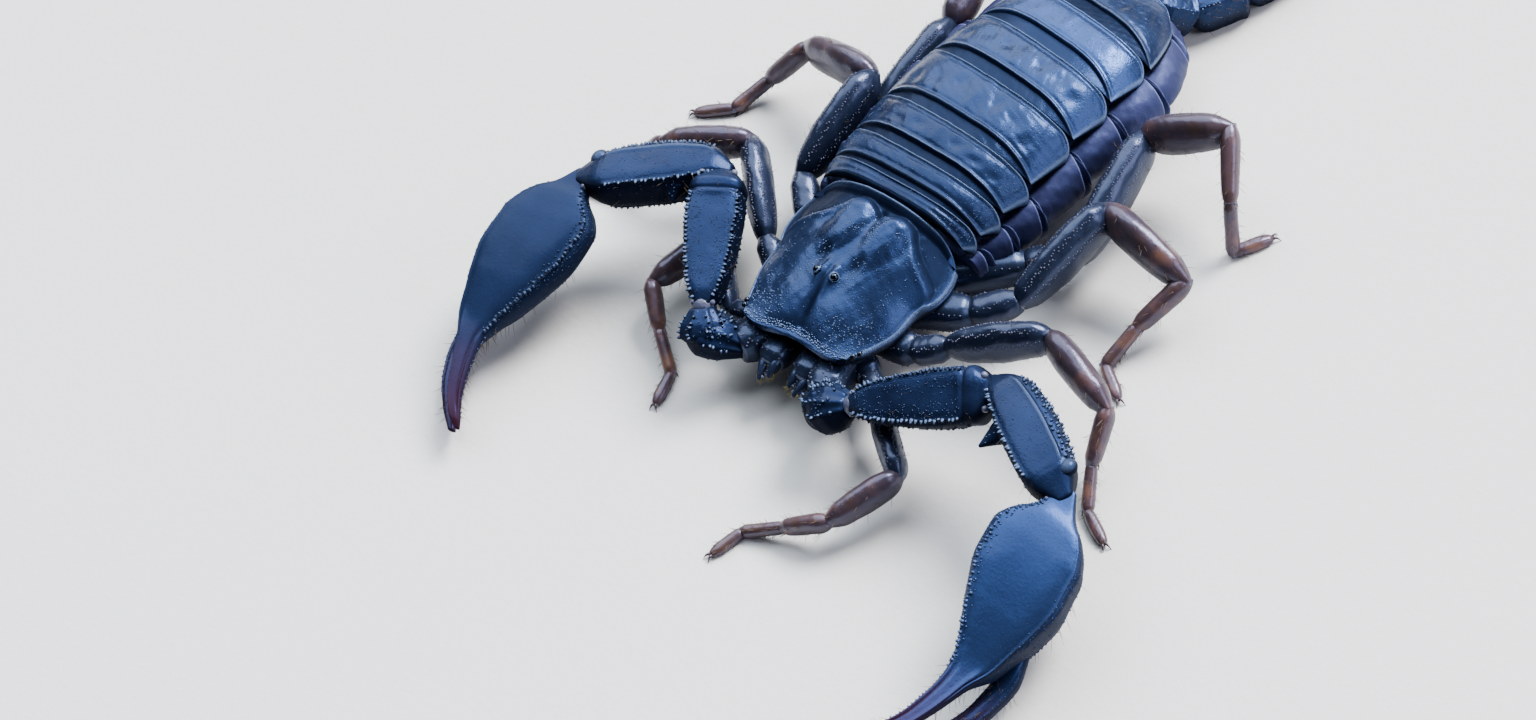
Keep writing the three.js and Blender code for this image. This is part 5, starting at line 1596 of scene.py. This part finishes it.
def makeFloor(size=4.0):
    f = Finish("paleFloor", IOR=1.45)
    cloud, fine = f.noise(0.05, 4.0, 0.6), f.noise(3.0, 4.0, 0.6)
    f.feed(Base_Color=f.blend(cloud * 0.6 + fine * 0.4, ink(0.56, 0.56, 0.57), ink(0.61, 0.61, 0.61)),
           Roughness=0.8 + 0.1 * (fine - 0.5), Normal=f.relief(fine, 0.00002))
    mesh = bpy.data.meshes.new("studio_floor")
    corners = [(-size, -size, 0), (size, -size, 0), (size, size, 0), (-size, size, 0)]
    mesh.from_pydata(corners, [], [(0, 1, 2, 3)])
    mesh.materials.append(f.material)
    floor = bpy.data.objects.new("studio_floor", mesh)
    bpy.context.scene.collection.objects.link(floor)


view = {
    "target": [-0.768, -0.816, 2.0], "azimuth": 56.777, "elevation": 51.92, "distance": 172.97,
    "roll": -18.743, "sensor": 36, "lens": 4609.1 / 1536,   # focal length as a share of the sensor
    "near": 0.005, "far": 10,
}


def makeCamera():
    a, e, r = (math.radians(view[k]) for k in ("azimuth", "elevation", "roll"))
    back = np.array([math.sin(a) * math.cos(e), -math.cos(a) * math.cos(e), math.sin(e)])
    right = np.array([math.cos(a), math.sin(a), 0])
    up = np.cross(back, right)
    across = right * math.cos(r) + up * math.sin(r)
    above = -right * math.sin(r) + up * math.cos(r)
    place = (np.array(view["target"]) + back * view["distance"] + frameShift) * millimetre
    data = bpy.data.cameras.new("front_view")
    data.sensor_width, data.sensor_fit = view["sensor"], "HORIZONTAL"
    data.lens = view["lens"] * view["sensor"]
    data.clip_start, data.clip_end = view["near"], view["far"]
    camera = bpy.data.objects.new("front_view", data)
    camera.matrix_world = Matrix([*np.stack([across, above, back, place], -1).tolist(), [0, 0, 0, 1]])
    bpy.context.scene.collection.objects.link(camera)
    bpy.context.scene.camera = camera


lamps = {  # direction from the animal, distance and size in metres, watts, colour
    "sky": [(-0.46, 0.34, 0.82), 1.3, 1.7, 51, (0.86, 0.93, 1.0)],
    "side": [(0.85, 0.4, 0.5), 1.3, 0.8, 13, (0.86, 0.86, 1.0)],
    "back": [(0.12, 0.67, 0.71), 1.3, 0.6, 60, (1.0, 0.98, 0.96)],
}
surround = {"colour": ink(0.5, 0.56, 0.66), "strength": 0.15}


def makeLights():
    for name, (way, distance, size, watts, colour) in lamps.items():
        data = bpy.data.lights.new(name, "AREA")
        data.shape, data.size, data.energy, data.color = "DISK", size, watts, colour
        lamp = bpy.data.objects.new(name, data)
        spot = Vector(way).normalized() * distance
        lamp.location = spot
        lamp.rotation_euler = spot.to_track_quat("Z", "Y").to_euler()
        bpy.context.scene.collection.objects.link(lamp)
    world = bpy.data.worlds.new("studio")
    world.use_nodes = True
    background = world.node_tree.nodes["Background"]
    background.inputs[0].default_value = surround["colour"]
    background.inputs[1].default_value = surround["strength"]
    bpy.context.scene.world = world


makeFloor()
makeLights()
makeCamera()
